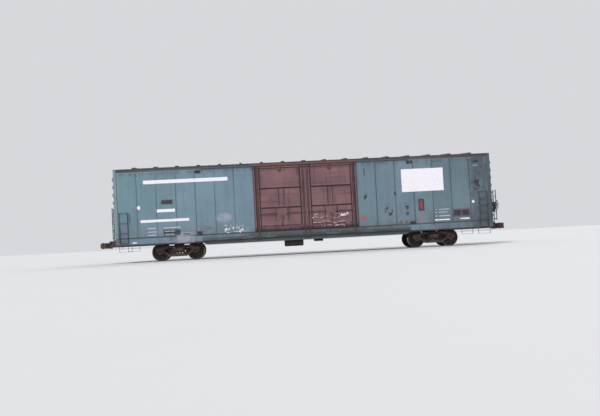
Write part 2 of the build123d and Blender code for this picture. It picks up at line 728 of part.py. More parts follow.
for end, sign in (("a", -1), ("b", 1)):
    truck_x = sign * TRUCK_X

    # Cast side frames: a web with flanges round its edge and openings, jaws over the bearings, a window
    # for the bolster and a shelf for the springs.
    with BuildPart() as side_frames:
        for y in (-JOURNAL_Y, JOURNAL_Y):
            outer_face = Plane.XZ.offset(-y - FRAME_HALF)
            with BuildSketch(outer_face, mode=Mode.PRIVATE) as openings:
                with Locations((truck_x, (SPRING_SEAT + WINDOW_TOP) / 2)):
                    Rectangle(2 * WINDOW_HALF, WINDOW_TOP - SPRING_SEAT)
                for side in (-1, 1):
                    with BuildLine():
                        Polyline([(truck_x + side * x, z) for x, z in SIDE_OPENING], close=True)
                    make_face()
                fillet(openings.vertices(), 24)
            with BuildSketch(outer_face, mode=Mode.PRIVATE) as outline:
                with BuildLine():
                    Polyline([(truck_x + x, z) for x, z in FRAME_OUTLINE], close=True)
                make_face()
                fillet(outline.vertices(), 28)
            with BuildSketch(outer_face) as flanges:
                add(outline.sketch)
                offset(outline.sketch, amount=-FLANGE, kind=Kind.INTERSECTION, mode=Mode.SUBTRACT)
                offset(openings.sketch, amount=16, kind=Kind.INTERSECTION)
                for side in (-1, 1):
                    with Locations((truck_x + side * HALF_WHEELBASE, 510)):
                        Rectangle(2 * JAW_HALF + 90, 250)
                add(outline.sketch, mode=Mode.INTERSECT)
            extrude(amount=2 * FRAME_HALF)
            with Locations((0, FRAME_HALF - WEB_HALF, 0)):
                extrude(outline.sketch, amount=2 * WEB_HALF)
            with BuildSketch(outer_face):
                add(openings.sketch)
                for side in (-1, 1):
                    with Locations((truck_x + side * HALF_WHEELBASE, PEDESTAL_ROOF - 150)):
                        Rectangle(2 * JAW_HALF, 300)
            extrude(amount=2 * FRAME_HALF, mode=Mode.SUBTRACT)
            span_box((truck_x - WINDOW_HALF, truck_x + WINDOW_HALF), (y - 125, y + 125), (262, SPRING_SEAT))
    pieces["side_frames_" + end] = side_frames

    # The truck bolster is a deep box at the middle and shallower in the side frames.
    with BuildPart() as truck_bolster:
        with BuildSketch(Plane.YZ.offset(truck_x - 215)):
            with BuildLine():
                Polyline(
                    (0, 400),
                    (420, 400),
                    (820, BOLSTER_LOW),
                    (JOURNAL_Y + 140, BOLSTER_LOW),
                    (JOURNAL_Y + 140, BOLSTER_END_TOP),
                    (700, BOLSTER_END_TOP),
                    (520, BOWL_FLOOR),
                    (0, BOWL_FLOOR),
                    close=True,
                )
            make_face()
            mirror(about=Plane.YZ)
        extrude(amount=430)
        bar_z(truck_x, 0, BOWL_FLOOR, BOWL_FLOOR + 34, CENTER_PLATE_R + 32)
        bar_z(truck_x, 0, BOWL_FLOOR, BOWL_FLOOR + 34, CENTER_PLATE_R + 7, Mode.SUBTRACT)
        for y in (-635, 635):
            span_box((truck_x - 80, truck_x + 80), (y - 50, y + 50), (BOLSTER_END_TOP, 697))
    pieces["truck_bolster_" + end] = truck_bolster

    with BuildPart() as springs:
        for y in (-JOURNAL_Y, JOURNAL_Y):
            for dx in (-150, 0, 150):
                for dy in (-62, 62):
                    bar_z(truck_x + dx, y + dy, SPRING_SEAT, BOLSTER_LOW, 56)
    pieces["spring_nests_" + end] = springs

    with BuildPart() as bearings:
        for axle in (-1, 1):
            bearing_x = truck_x + axle * HALF_WHEELBASE
            for y in (-1, 1):
                bar_y(bearing_x, y * (JOURNAL_Y - 88), y * (JOURNAL_Y + 88), AXLE_Z, BEARING_R)
                span_box((bearing_x - 100, bearing_x + 100), (y * 920, y * 1086), (500, PEDESTAL_ROOF))
                bar_y(bearing_x, y * (JOURNAL_Y - 100), y * (JOURNAL_Y + 100), AXLE_Z, 73, Mode.SUBTRACT)
    pieces["bearings_" + end] = bearings

    # Brake beams carry a curved shoe in front of each tread.
    with BuildPart() as brake_beams:
        for axle in (-1, 1):
            axle_x = truck_x + axle * HALF_WHEELBASE
            beam_x = truck_x + axle * 340
            span_box((beam_x - 30, beam_x + 30), (-790, 790), (360, 420))
            span_box((beam_x - 12, beam_x + 12), (-28, 28), (300, 400 if axle == sign else 700))
            for y in (-765, 765):
                with BuildSketch(Plane.XZ.offset(-y - 42)):
                    with BuildLine():
                        Polyline(
                            (axle_x, AXLE_Z),
                            (axle_x - axle * 520, AXLE_Z + 150),
                            (axle_x - axle * 520, AXLE_Z - 190),
                            close=True,
                        )
                    make_face()
                    with Locations((axle_x, AXLE_Z)):
                        Circle(500, mode=Mode.INTERSECT)
                        Circle(WHEEL_RADIUS + 6, mode=Mode.SUBTRACT)
                extrude(amount=84)
    pieces["brake_beams_" + end] = brake_beams

# Wheelsets: an axle with two wheels, turned from one profile of (y, radius).
WHEEL_FACE_Y = WHEEL_BACK_Y + RIM_WIDTH
for number, axle_x in enumerate(
    (
        -TRUCK_X - HALF_WHEELBASE,
        -TRUCK_X + HALF_WHEELBASE,
        TRUCK_X - HALF_WHEELBASE,
        TRUCK_X + HALF_WHEELBASE,
    ),
    start=1,
):
    with BuildPart() as wheelset:
        with BuildSketch(Plane(origin=(axle_x, 0, AXLE_Z), x_dir=(0, 1, 0), z_dir=(1, 0, 0))):
            with BuildLine():
                Polyline(
                    (0, 0),
                    (0, 82),
                    (590, 84),
                    (650, 98),
                    (650, 140),
                    (700, 152),
                    (728, 356),
                    (WHEEL_BACK_Y, 366),
                    (WHEEL_BACK_Y, WHEEL_RADIUS + 12),
                    (WHEEL_BACK_Y + 10, WHEEL_RADIUS + FLANGE_DEPTH),
                    (WHEEL_BACK_Y + 22, WHEEL_RADIUS + FLANGE_DEPTH - 2),
                    (WHEEL_BACK_Y + 36, WHEEL_RADIUS + 2),
                    (WHEEL_FACE_Y - 6, WHEEL_RADIUS - 5),
                    (WHEEL_FACE_Y, WHEEL_RADIUS - 12),
                    (WHEEL_FACE_Y, 366),
                    (758, 356),
                    (728, 156),
                    (800, 140),
                    (800, 98),
                    (JOURNAL_Y - 94, 92),
                    (JOURNAL_Y - 94, 72),
                    (JOURNAL_Y + 94, 72),
                    (JOURNAL_Y + 94, 84),
                    (JOURNAL_Y + 122, 80),
                    (JOURNAL_Y + 122, 0),
                    close=True,
                )
            make_face()
        revolve(axis=Axis((axle_x, 0, AXLE_Z), (0, 1, 0)))
        mirror(about=Plane.XZ)
    pieces["wheelset_%d" % number] = wheelset

# Couplers: the knuckle hangs on its pin between the head's lugs, on the left looking outward.
PIN_X = PULL_FACE_X - 75
PIN_Y = 118
HEAD_HALF = 140
SHANK_HALF = 62
for end, turn in (("a", 180), ("b", 0)):
    with BuildPart() as coupler:
        span_box((COUPLER_PIVOT_X, PULL_FACE_X - 330), (-SHANK_HALF, SHANK_HALF), (COUPLER_Z - 75, COUPLER_Z + 75))
        bar_z(COUPLER_PIVOT_X, 0, COUPLER_Z - 75, COUPLER_Z + 75, SHANK_HALF)
        with BuildSketch(Plane.XY.offset(COUPLER_Z - HEAD_HALF)):
            with BuildLine():
                Polyline(
                    (PULL_FACE_X - 390, -62),
                    (PULL_FACE_X - 300, -120),
                    (PULL_FACE_X - 130, -190),
                    (PULL_FACE_X + 40, -200),
                    (PULL_FACE_X + 66, -172),
                    (PULL_FACE_X - 20, -130),
                    (PULL_FACE_X - 120, -80),
                    (PULL_FACE_X - 136, 40),
                    (PULL_FACE_X - 136, 175),
                    (PULL_FACE_X - 210, 180),
                    (PULL_FACE_X - 300, 120),
                    (PULL_FACE_X - 390, 62),
                    close=True,
                )
            make_face()
        extrude(amount=2 * HEAD_HALF)
        for z in (COUPLER_Z - HEAD_HALF, COUPLER_Z + HEAD_HALF - 28):
            with BuildSketch(Plane.XY.offset(z)):
                with Locations((PIN_X, PIN_Y)):
                    Circle(52)
                with Locations((PIN_X - 50, PIN_Y)):
                    Rectangle(100, 104)
            extrude(amount=28)
        bar_z(PIN_X, PIN_Y, COUPLER_Z - HEAD_HALF - 20, COUPLER_Z + HEAD_HALF + 20, 20)
        add(coupler.part.rotate(Axis.Z, turn), mode=Mode.REPLACE)
    pieces["coupler_" + end] = coupler

    with BuildPart() as knuckle:
        with BuildSketch(Plane.XY.offset(COUPLER_Z - HEAD_HALF + 34)):
            with BuildLine():
                Polyline(
                    (PULL_FACE_X - 88, 72),
                    (PULL_FACE_X - 84, -20),
                    (PULL_FACE_X - 50, -30),
                    (PULL_FACE_X, 20),
                    (PULL_FACE_X + 4, -70),
                    (PULL_FACE_X + 60, -74),
                    (PULL_FACE_X + 84, -40),
                    (PULL_FACE_X + 70, 60),
                    (PULL_FACE_X + 10, 130),
                    (PULL_FACE_X - 40, 160),
                    close=True,
                )
            make_face()
            with Locations((PIN_X, PIN_Y)):
                Circle(48)
                Circle(20.5, mode=Mode.SUBTRACT)
        extrude(amount=2 * (HEAD_HALF - 34))
        add(knuckle.part.rotate(Axis.Z, turn), mode=Mode.REPLACE)
    pieces["knuckle_" + end] = knuckle

os.makedirs("parts", exist_ok=True)
for name, piece in pieces.items():
    piece.part.label = name
    export_step(piece.part, "parts/" + name + ".step")
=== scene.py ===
"""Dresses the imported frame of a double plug-door railroad boxcar and sets up its picture.

Lengths are metres in the frame's own place: +X towards the hand brake end, +Y across, +Z up. Colours are
display values of 0 to 255. The near side is the one at -Y, and the far side is the same turned half round.
"""

from __future__ import annotations

import logging
import math
from collections.abc import Iterable, Mapping, Sequence
from dataclasses import dataclass, field
from enum import Enum
from functools import cached_property, reduce
import bmesh
import bpy
from mathutils import Matrix, Vector


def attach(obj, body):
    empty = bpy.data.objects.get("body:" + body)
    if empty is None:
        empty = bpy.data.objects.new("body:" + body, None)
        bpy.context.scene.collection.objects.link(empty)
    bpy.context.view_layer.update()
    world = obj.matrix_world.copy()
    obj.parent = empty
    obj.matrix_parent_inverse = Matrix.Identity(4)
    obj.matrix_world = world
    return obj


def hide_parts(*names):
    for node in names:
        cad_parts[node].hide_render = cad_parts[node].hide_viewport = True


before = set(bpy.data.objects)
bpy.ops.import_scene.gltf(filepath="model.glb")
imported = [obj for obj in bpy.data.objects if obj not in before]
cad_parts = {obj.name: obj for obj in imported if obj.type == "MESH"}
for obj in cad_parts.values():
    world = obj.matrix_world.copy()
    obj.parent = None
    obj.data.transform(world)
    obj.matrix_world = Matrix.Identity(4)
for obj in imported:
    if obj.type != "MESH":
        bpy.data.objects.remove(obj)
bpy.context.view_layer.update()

LOG = logging.getLogger("boxcar")

Pair = tuple[float, float]
Triple = tuple[float, float, float]
Area = tuple[float, float, float, float]
Spots = list[tuple[Triple, Triple]]

# Places shared with the CAD frame
SIDE_FACE = 1.54
LEAF_FACE = 1.545
END_FACE = 9.33
SILL_TOP = 1.19
EAVE = 4.405
POST_OUTER = 2.566
PANEL_PITCH = (9.19 - POST_OUTER) / 7
TRUCK_X = 6.4
HALF_WHEELBASE = 0.8635
AXLE_Z = 0.444
JOURNAL_Y = 1.003

NEAR = (0, -1, 0)
UP = (0, 0, 1)
SHARP = math.radians(38)
TURN = Matrix.Rotation(math.pi, 4, "Z")
ACROSS = Matrix.Scale(-1.0, 4, Vector((0.0, 1.0, 0.0)))


class End(Enum):
    """The two ends of the car, with the sign of X."""

    A = -1
    B = 1

    @property
    def letter(self) -> str:
        """The end's letter in node and body names."""
        return self.name.lower()


def paint(colour: Triple) -> tuple[float, ...]:
    """A linear colour from display values.

    Args:
        colour: Red, green and blue.

    Returns:
        The linear colour, opaque.
    """

    def linear(value: float) -> float:
        """One channel from display to linear."""
        share = value / 255
        return share / 12.92 if share <= 0.04045 else ((share + 0.055) / 1.055) ** 2.4

    return (*(linear(value) for value in colour), 1.0)


# Node trees


class Graph:
    """A node tree, with one method that adds any node."""

    def __init__(self, tree: bpy.types.NodeTree) -> None:
        """Keep the tree that nodes go into."""
        self.tree = tree

    def node(
        self, kind: str, settings: Mapping | None = None, inputs: Mapping | None = None
    ) -> bpy.types.Node:
        """Add a node.

        Args:
            kind: The node's Blender type.
            settings: Properties of the node, which are set first.
            inputs: Values, sockets or terms by the name or number of the input they go to.

        Returns:
            The new node.
        """
        made = self.tree.nodes.new(kind)
        for key, value in (settings or {}).items():
            setattr(made, key, value)
        for key, value in (inputs or {}).items():
            if isinstance(value, Term):
                value = value.socket
            if isinstance(value, bpy.types.NodeSocket):
                self.tree.links.new(value, made.inputs[key])
            else:
                made.inputs[key].default_value = value
        return made

    def maths(self, operation: str, *values: Term | float) -> Term:
        """The result of one Math node on the given values."""
        made = self.node("ShaderNodeMath", {"operation": operation}, dict(enumerate(values)))
        return Term(self, made.outputs[0])


@dataclass(frozen=True)
class Term:
    """A value socket that takes part in Python expressions, each of which adds a Math node."""

    graph: Graph
    socket: bpy.types.NodeSocket

    def __add__(self, other: Term | float) -> Term:
        """Sum, also with a number first."""
        return self.graph.maths("ADD", self, other)

    __radd__ = __add__

    def __sub__(self, other: Term | float) -> Term:
        """Difference."""
        return self.graph.maths("SUBTRACT", self, other)

    def __rsub__(self, other: float) -> Term:
        """Difference from a number."""
        return self.graph.maths("SUBTRACT", other, self)

    def __mul__(self, other: Term | float) -> Term:
        """Product, also with a number first."""
        return self.graph.maths("MULTIPLY", self, other)

    __rmul__ = __mul__

    def __truediv__(self, other: Term | float) -> Term:
        """Quotient."""
        return self.graph.maths("DIVIDE", self, other)

    def __pow__(self, other: float) -> Term:
        """Power."""
        return self.graph.maths("POWER", self, other)

    def __abs__(self) -> Term:
        """Size without sign."""
        return self.graph.maths("ABSOLUTE", self)

    def most(self, other: Term | float) -> Term:
        """The larger of two values."""
        return self.graph.maths("MAXIMUM", self, other)

    def least(self, other: Term | float) -> Term:
        """The smaller of two values."""
        return self.graph.maths("MINIMUM", self, other)

    def over(self, low: float, high: float, start: float = 0.0, stop: float = 1.0) -> Term:
        """A smooth step between two limits.

        Args:
            low: The limit at which the result is start; it may be the larger.
            high: The limit at which the result is stop.
            start: The result on the side of low.
            stop: The result on the side of high.

        Returns:
            The step.
        """
        limits = {0: self, 1: low, 2: high, 3: start, 4: stop}
        made = self.graph.node("ShaderNodeMapRange", {"interpolation_type": "SMOOTHSTEP"}, limits)
        return Term(self.graph, made.outputs[0])

    def near(self, place: float, half: float, soft: float) -> Term:
        """1 within half of a place, falling to 0 over a soft edge."""
        return abs(self - place).over(half + soft, half)

    def between(self, low: float, high: float, soft: float) -> Term:
        """1 between two limits, falling to 0 over a soft edge outside them."""
        return self.near((low + high) / 2, (high - low) / 2, soft)


def strongest(terms: Iterable[Term]) -> Term:
    """The largest of some values."""
    return reduce(Term.most, terms)


class Shade(Graph):
    """A material under construction, laid coat over coat, that reads Object coordinates."""

    def __init__(self, name: str, colour: Triple) -> None:
        """Start a material and split the object coordinates.

        Args:
            name: Name of the material.
            colour: The colour under all coats.
        """
        self.material = bpy.data.materials.new(name)
        self.material.use_nodes = True
        super().__init__(self.material.node_tree)
        self.tree.nodes.clear()
        self.colour: object = paint(colour)
        self.place = self.node("ShaderNodeTexCoord").outputs["Object"]
        split = self.node("ShaderNodeSeparateXYZ", inputs={0: self.place})
        self.x, self.y, self.z = (Term(self, out) for out in split.outputs)

    @cached_property
    def side(self) -> Term:
        """The distance along the car as read from in front of either side, larger to the right."""
        return self.x * -1.0 * self.maths("SIGN", self.y)

    def within(self, area: Area, soft: float) -> Term:
        """1 in an area of the side, falling to 0 at its limits.

        Args:
            area: Limits along the side and in height.
            soft: Width of the soft edge, inside the limits.

        Returns:
            The mask.
        """
        left, right, low, high = area
        across = self.side.between(left + soft, right - soft, soft)
        return across * self.z.between(low + soft, high - soft, soft)

    def noise(
        self,
        scale: float,
        detail: float = 3.0,
        stretch: Triple = (1.0, 1.0, 1.0),
        seed: float = 0.0,
        roughness: float = 0.55,
        distortion: float = 0.0,
    ) -> Term:
        """Fractal noise about 0.5.

        Args:
            scale: Cells in a metre.
            detail: Octaves.
            stretch: Factor on each axis before the noise; a small one draws it out.
            seed: Shift of the pattern.
            roughness: Strength of each finer octave.
            distortion: Swirl of the pattern.

        Returns:
            The noise value.
        """
        where = self.node(
            "ShaderNodeVectorMath",
            {"operation": "MULTIPLY_ADD"},
            {0: self.place, 1: stretch, 2: (seed, seed * 1.7, seed * 0.6)},
        )
        sockets = {"Vector": where.outputs[0], "Scale": scale, "Detail": detail}
        sockets |= {"Roughness": roughness, "Distortion": distortion}
        return Term(self, self.node("ShaderNodeTexNoise", inputs=sockets).outputs["Fac"])

    def random(self, value: Term) -> Term:
        """A random number from 0 to 1 for each whole value."""
        made = self.node("ShaderNodeTexWhiteNoise", {"noise_dimensions": "1D"}, {"W": value})
        return Term(self, made.outputs["Value"])

    def lay(self, cover: Term | float, colour: Triple) -> None:
        """Lay a coat of a colour over what is there, as far as it covers."""
        sockets = {0: cover, 6: self.colour, 7: paint(colour)}
        self.colour = self.node("ShaderNodeMix", {"data_type": "RGBA"}, sockets).outputs[2]

    def surface(
        self,
        roughness: object,
        metallic: object = 0.0,
        height: Term | None = None,
        depth: float = 0.0,
        strength: float = 0.5,
    ) -> None:
        """Close the material with a Principled surface of the colour laid so far.

        Args:
            roughness: Roughness value or term.
            metallic: Metallic value or term.
            height: Height of the bumps, if any.
            depth: Distance in metres that a height of 1 stands for.
            strength: Strength of the bumps.
        """
        sockets = {"Base Color": self.colour, "Roughness": roughness, "Metallic": metallic}
        if height is not None:
            bumps = {"Strength": strength, "Distance": depth, "Height": height}
            sockets["Normal"] = self.node("ShaderNodeBump", inputs=bumps).outputs[0]
        shader = self.node("ShaderNodeBsdfPrincipled", inputs=sockets)
        self.node("ShaderNodeOutputMaterial", inputs={"Surface": shader.outputs[0]})


# Marks on the side: plain stripes, panels and stains, as read from in front of either side


class Tint(Enum):
    """Colours of the marks."""

    WHITE = (238, 232, 238)
    PALE = (158, 155, 172)
    STENCIL = (190, 192, 202)
    BLACK = (40, 38, 44)
    MAROON = (92, 62, 72)
    ORANGE = (150, 88, 84)
    SLATE = (92, 100, 108)
    RUST = (98, 86, 80)
    ASH = (120, 114, 126)

    @property
    def strength(self) -> float:
        """How far a mark of this colour covers the paint."""
        return {Tint.WHITE: 0.96, Tint.PALE: 0.72, Tint.SLATE: 0.6, Tint.BLACK: 0.9}.get(self, 0.85)


@dataclass(frozen=True)
class Mark:
    """A plain painted shape: its limits along the side and in height, and its soft edge."""

    tint: Tint
    left: float
    right: float
    low: float
    high: float
    oval: bool = False
    soft: float = 0.01

    def inside(self, s: Shade) -> Term:
        """How far a place lies inside the shape.

        Args:
            s: The material under construction.

        Returns:
            The distance to the nearest edge in metres, below 0 outside.
        """
        half_wide = (self.right - self.left) / 2
        half_tall = (self.high - self.low) / 2
        up = s.z - (self.low + self.high) / 2
        across = s.side - (self.left + self.right) / 2
        if self.oval:
            radius = (across * across / half_wide**2 + up * up / half_tall**2) ** 0.5
            return (1.0 - radius) * min(half_wide, half_tall)
        return (half_wide - abs(across)).least(half_tall - abs(up))


def row(tint: Tint, limits: Iterable[Pair], low: float, high: float, soft: float) -> tuple[Mark, ...]:
    """Marks of one height in a row."""
    return tuple(Mark(tint, left, right, low, high, soft=soft) for left, right in limits)


LEFT_MARKS = (
    Mark(Tint.WHITE, -7.9, -3.8, 3.79, 3.97),
    Mark(Tint.WHITE, -7.3, -6.42, 2.39, 2.54),
    Mark(Tint.WHITE, -8.1, -5.75, 1.92, 2.05),
    Mark(Tint.WHITE, -8.25, -8.07, 2.55, 2.75, oval=True, soft=0.03),
    *row(Tint.STENCIL, ((-7.78, -7.36), (-7.0, -6.18)), 1.6, 1.65, 0.012),
    *row(Tint.STENCIL, ((-7.78, -7.3), (-6.95, -6.46)), 1.43, 1.47, 0.012),
    *row(Tint.STENCIL, ((-7.78, -7.36), (-6.95, -6.48)), 1.28, 1.32, 0.012),
    Mark(Tint.BLACK, -7.02, -6.17, 1.24, 1.52, soft=0.03),
    Mark(Tint.BLACK, -7.07, -6.52, 2.77, 2.98, soft=0.02),
    Mark(Tint.SLATE, -7.1, -6.42, 2.73, 3.02, soft=0.05),
    Mark(Tint.PALE, -6.4, -5.5, 0.84, 1.37, soft=0.05),
    Mark(Tint.BLACK, -6.08, -5.73, 1.25, 1.31),
    Mark(Tint.WHITE, -8.53, -8.31, 0.94, 1.0, soft=0.02),
    Mark(Tint.PALE, -4.44, -3.64, 1.73, 2.24, oval=True, soft=0.09),
    Mark(Tint.SLATE, -5.02, -4.64, 1.42, 1.6, soft=0.09),
    Mark(Tint.ASH, -9.0, -8.8, 1.35, 1.95, oval=True, soft=0.3),
)
RIGHT_MARKS = (
    Mark(Tint.WHITE, 4.8, 6.92, 2.8, 3.94),
    Mark(Tint.ORANGE, 2.64, 3.0, 1.5, 1.75, soft=0.05),
    Mark(Tint.ASH, 5.58, 5.88, 1.2, 1.86, soft=0.03),
    Mark(Tint.MAROON, 7.3, 8.2, 1.44, 1.86, soft=0.05),
    *row(Tint.BLACK, ((7.37, 7.72), (7.78, 8.13)), 1.5, 1.78, 0.03),
    Mark(Tint.WHITE, 7.67, 8.14, 1.31, 1.38, soft=0.02),
    *row(Tint.STENCIL, ((6.42, 6.52), (6.6, 7.15)), 1.83, 1.87, 0.012),
    *row(Tint.STENCIL, ((6.4, 6.5), (6.58, 7.05)), 1.69, 1.73, 0.012),
    *row(Tint.STENCIL, ((6.4, 6.52), (6.6, 7.15)), 1.5, 1.55, 0.012),
    Mark(Tint.WHITE, 6.38, 7.14, 1.3, 1.37, soft=0.02),
    Mark(Tint.PALE, 8.42, 8.72, 3.9, 4.03, soft=0.05),
    Mark(Tint.BLACK, 8.46, 8.75, 4.12, 4.24, soft=0.03),
    Mark(Tint.BLACK, 2.935, 2.98, 3.7, 4.08),
    *row(Tint.SLATE, ((3.9, 4.14), (4.62, 4.78)), 1.66, 2.32, 0.12),
    Mark(Tint.RUST, 4.5, 5.16, 1.06, 1.32, soft=0.14),
    *row(Tint.RUST, ((4.6, 4.78), (4.86, 5.02)), 1.22, 1.42, 0.06),
    Mark(Tint.WHITE, 8.3, 8.45, 2.09, 2.24, oval=True, soft=0.03),
    Mark(Tint.BLACK, 8.58, 8.72, 3.1, 3.26, oval=True, soft=0.05),
    Mark(Tint.BLACK, 8.5, 8.6, 2.8, 2.9, oval=True, soft=0.05),
    Mark(Tint.SLATE, 8.26, 8.68, 1.78, 2.65, soft=0.18),
    Mark(Tint.MAROON, 8.3, 8.64, 1.1, 1.16, soft=0.03),
    *row(Tint.SLATE, ((3.15, 3.2), (3.27, 3.32)), 1.4, 2.47, 0.02),
)
RIGHT_FLAKES = (
    (3.84, 4.34, 1.62, 2.16),
    (4.52, 4.76, 1.5, 1.86),
    (4.84, 5.14, 1.58, 2.5),
    (2.84, 3.1, 2.5, 2.94),
    (4.3, 4.56, 2.5, 3.2),
    (8.4, 8.8, 2.7, 3.34),
)


@dataclass(frozen=True)
class Scribble:
    """Loose broken strokes of chalk in an area, which form no letter."""

    area: Area
    soft: float
    scale: float
    squash: float
    seed: float
    line: Pair
    gaps: Pair

    def strokes(self, s: Shade) -> Term:
        """Where the strokes lie."""
        path = abs(s.noise(self.scale, 0.6, (1.0, 1.0, self.squash), self.seed) - 0.5)
        return path.over(*self.line) * s.noise(11.0, 3.0, seed=2.2).over(*self.gaps)


LEFT_SCRIBBLE = Scribble((-4.1, -2.95, 1.1, 1.65), 0.1, 1.6, 2.6, 31.0, (0.016, 0.006), (0.46, 0.54))
DOOR_SCRIBBLE = Scribble((0.26, 2.11, 1.27, 1.99), 0.05, 1.7, 2.4, 40.0, (0.02, 0.008), (0.44, 0.52))


# Finishes


@dataclass(frozen=True)
class Finish:
    """A finish: its name, its first colour and the coats that go over it."""

    name: str
    colour: Triple

    def make(self) -> bpy.types.Material:
        """Build the material.

        Returns:
            The finished material.
        """
        s = Shade(self.name, self.colour)
        self.coats(s)
        return s.material

    def coats(self, s: Shade) -> None:
        """Lay the coats and close the surface; each finish has its own."""
        raise NotImplementedError


@dataclass(frozen=True)
class BodyPaint(Finish):
    """Chalky body paint with sheet joints, soot, streaks, road dirt, rust and plain marks, and painted shade
    along the sill, in the joints and behind the right ladder.
    """

    colour: Triple = (104, 128, 141)
    chalk: Triple = (116, 141, 156)
    shade: Triple = (92, 108, 121)
    green: Triple = (100, 136, 136)
    # The soot colour also paints shade: the shadow lines along the sill and the shade in the sheet joints.
    soot: Triple = (46, 48, 56)
    dust: Triple = (94, 98, 104)
    rust: Triple = (98, 62, 50)
    rail: Triple = (140, 150, 138)
    dark_below_doors: Triple = (68, 78, 80)
    grime_and_shade: Triple = (60, 64, 74)
    marks: tuple[Mark, ...] = ()
    flakes: tuple[Area, ...] = ()
    scribble: Scribble | None = None
    joints: bool = True

    def coats(self, s: Shade) -> None:
        """Lay the chalky paint, its joints, its dirt, its painted shade and its marks.

        Args:
            s: The material under construction.
        """
        fine = s.noise(7.0, 5.0, seed=9.0)
        streak = s.noise(1.0, 5.0, (6.0, 6.0, 0.35), seed=5.2)
        s.lay(s.noise(0.35, 4.0, seed=3.1).over(0.38, 0.66), self.chalk)
        s.lay(s.noise(0.22, 3.0, (1.0, 1.0, 0.7), seed=12.4).over(0.46, 0.66) * 0.4, self.green)
        s.lay(s.side.over(-8.7, -9.1) * 0.2, self.green)
        s.lay(s.noise(1.3, 4.0, (1.0, 1.0, 0.7), 8.4).over(0.5, 0.72) * 0.55, self.shade)
        panel = (abs(s.side) - POST_OUTER) / PANEL_PITCH
        tone = s.random(s.maths("FLOOR", panel) + s.maths("SIGN", s.side) * 9.0)
        s.lay(tone * 0.3, self.shade)
        s.lay(streak.over(0.52, 0.75) * s.z.over(0.9, 4.6) * 0.5, self.shade)
        s.lay(streak.over(0.5, 0.3) * 0.3, self.chalk)
        s.lay(fine.over(0.55, 0.8) * 0.25, self.dust)
        height = s.noise(0.9, 2.0, seed=1.0) * 0.6 + fine * 0.12
        if self.joints:
            height = height + self.sheet_joints(s, streak)
        self.weather(s, streak, fine)
        self.mark(s, fine)
        self.flake_and_chalk(s)
        s.surface(0.62 + 0.2 * fine, 0.0, height, 0.012)

    def sheet_joints(self, s: Shade, streak: Term) -> Term:
        """Draw the dark joints between the sheets, partly as painted shade, and the soot that runs from them.

        Args:
            s: The material under construction.
            streak: Upright streaks.

        Returns:
            What the joints add to the height of the bumps.
        """
        away = s.maths("PINGPONG", abs(s.side) - POST_OUTER, PANEL_PITCH / 2)
        run = away.over(0.13, 0.02) * s.z.over(2.6, 4.5) * streak.over(0.4, 0.6)
        # The dark joint lines are painted shade with soot in the joints.
        grime_and_shade = (away.over(0.036, 0.014) * streak.over(0.3, 0.6, 0.55)).most(run * 0.5)
        grime_and_shade = grime_and_shade.most(away.over(0.07, 0.02) * s.z.over(2.4, 1.2) * s.side.over(0.0, 1.0) * 0.8)
        post = abs(s.side).over(9.155, 9.18)
        s.lay((grime_and_shade * s.side.over(-2.0, 4.0, 0.5, 0.7)).most(post * 0.8), self.soot)
        return away.over(0.03, 0.0) * 0.2

    def weather(self, s: Shade, streak: Term, fine: Term) -> None:
        """Lay soot, road dirt, rust and painted shade over the paint.

        Args:
            s: The material under construction.
            streak: Upright streaks.
            fine: Fine noise.
        """
        s.lay(s.z.over(4.1, 4.42) * streak.over(0.32, 0.62) * 0.55, self.soot)
        s.lay(s.z.near(4.372, 0.02, 0.02) * streak.over(0.3, 0.5) * 0.4, self.rail)
        splash = s.z.over(2.1, 0.95) * s.noise(2.4, 4.0, (1.0, 1.0, 0.6), 2.2).over(0.3, 0.66)
        s.lay(splash * 0.8, self.dust)
        # Painted shadows in the soot colour: a dark line where the sheets step onto the sill, and one under
        # the lower door track at the sill's foot.
        sill_line_shadows = s.z.near(SILL_TOP, 0.02, 0.02).most(s.z.over(0.905, 0.875) * abs(s.y).over(1.5, 1.53))
        s.lay(sill_line_shadows * 0.9, self.soot)
        # Darker on the sill below the doors, most on the left.
        doors = abs(s.side).over(5.22, 4.9) * s.side.over(-3.3, -2.7, 0.25) * s.side.over(2.6, 3.2, 1.0, 0.6)
        under_doors = doors * s.z.over(SILL_TOP, SILL_TOP - 0.03)
        s.lay(under_doors * streak.over(0.35, 0.6, 0.65, 0.95), self.dark_below_doors)
        patches = s.noise(1.6, 5.0, (1.0, 1.0, 0.55), 7.7)
        end_dirt_and_ladder_shade = (s.side.over(4.6, 7.4) * 0.38).most(s.side.over(8.1, 8.45)) * patches.over(0.34, 0.6, 0.5)
        # Painted shade with dirt on the panel behind the right ladder.
        end_dirt_and_ladder_shade = end_dirt_and_ladder_shade.most(s.side.over(8.66, 8.8) * s.z.over(2.9, 2.5) * 0.8)
        left_foot = s.side.over(-8.5, -8.95) * s.z.over(2.2, 1.2) * patches.over(0.3, 0.6)
        s.lay(end_dirt_and_ladder_shade.most(left_foot * 0.6) * 0.78, self.grime_and_shade)
        speckle = s.noise(5.0, 5.0, seed=15.0).over(0.56, 0.64) * s.side.over(8.1, 8.4)
        s.lay(speckle * 0.5, self.soot)
        run = s.noise(1.0, 4.0, (16.0, 16.0, 0.7), 4.4).over(0.6, 0.72) * patches.over(0.46, 0.6)
        speck = s.noise(14.0, 3.0, seed=6.6).over(0.68, 0.74) * s.noise(0.8, 2.0, seed=2.9).over(0.45, 0.65)
        hem = s.z.over(1.5, 1.0) * fine.over(0.54, 0.68)
        s.lay((run * 0.45).most(speck * 0.6).most(hem * 0.26), self.rust)

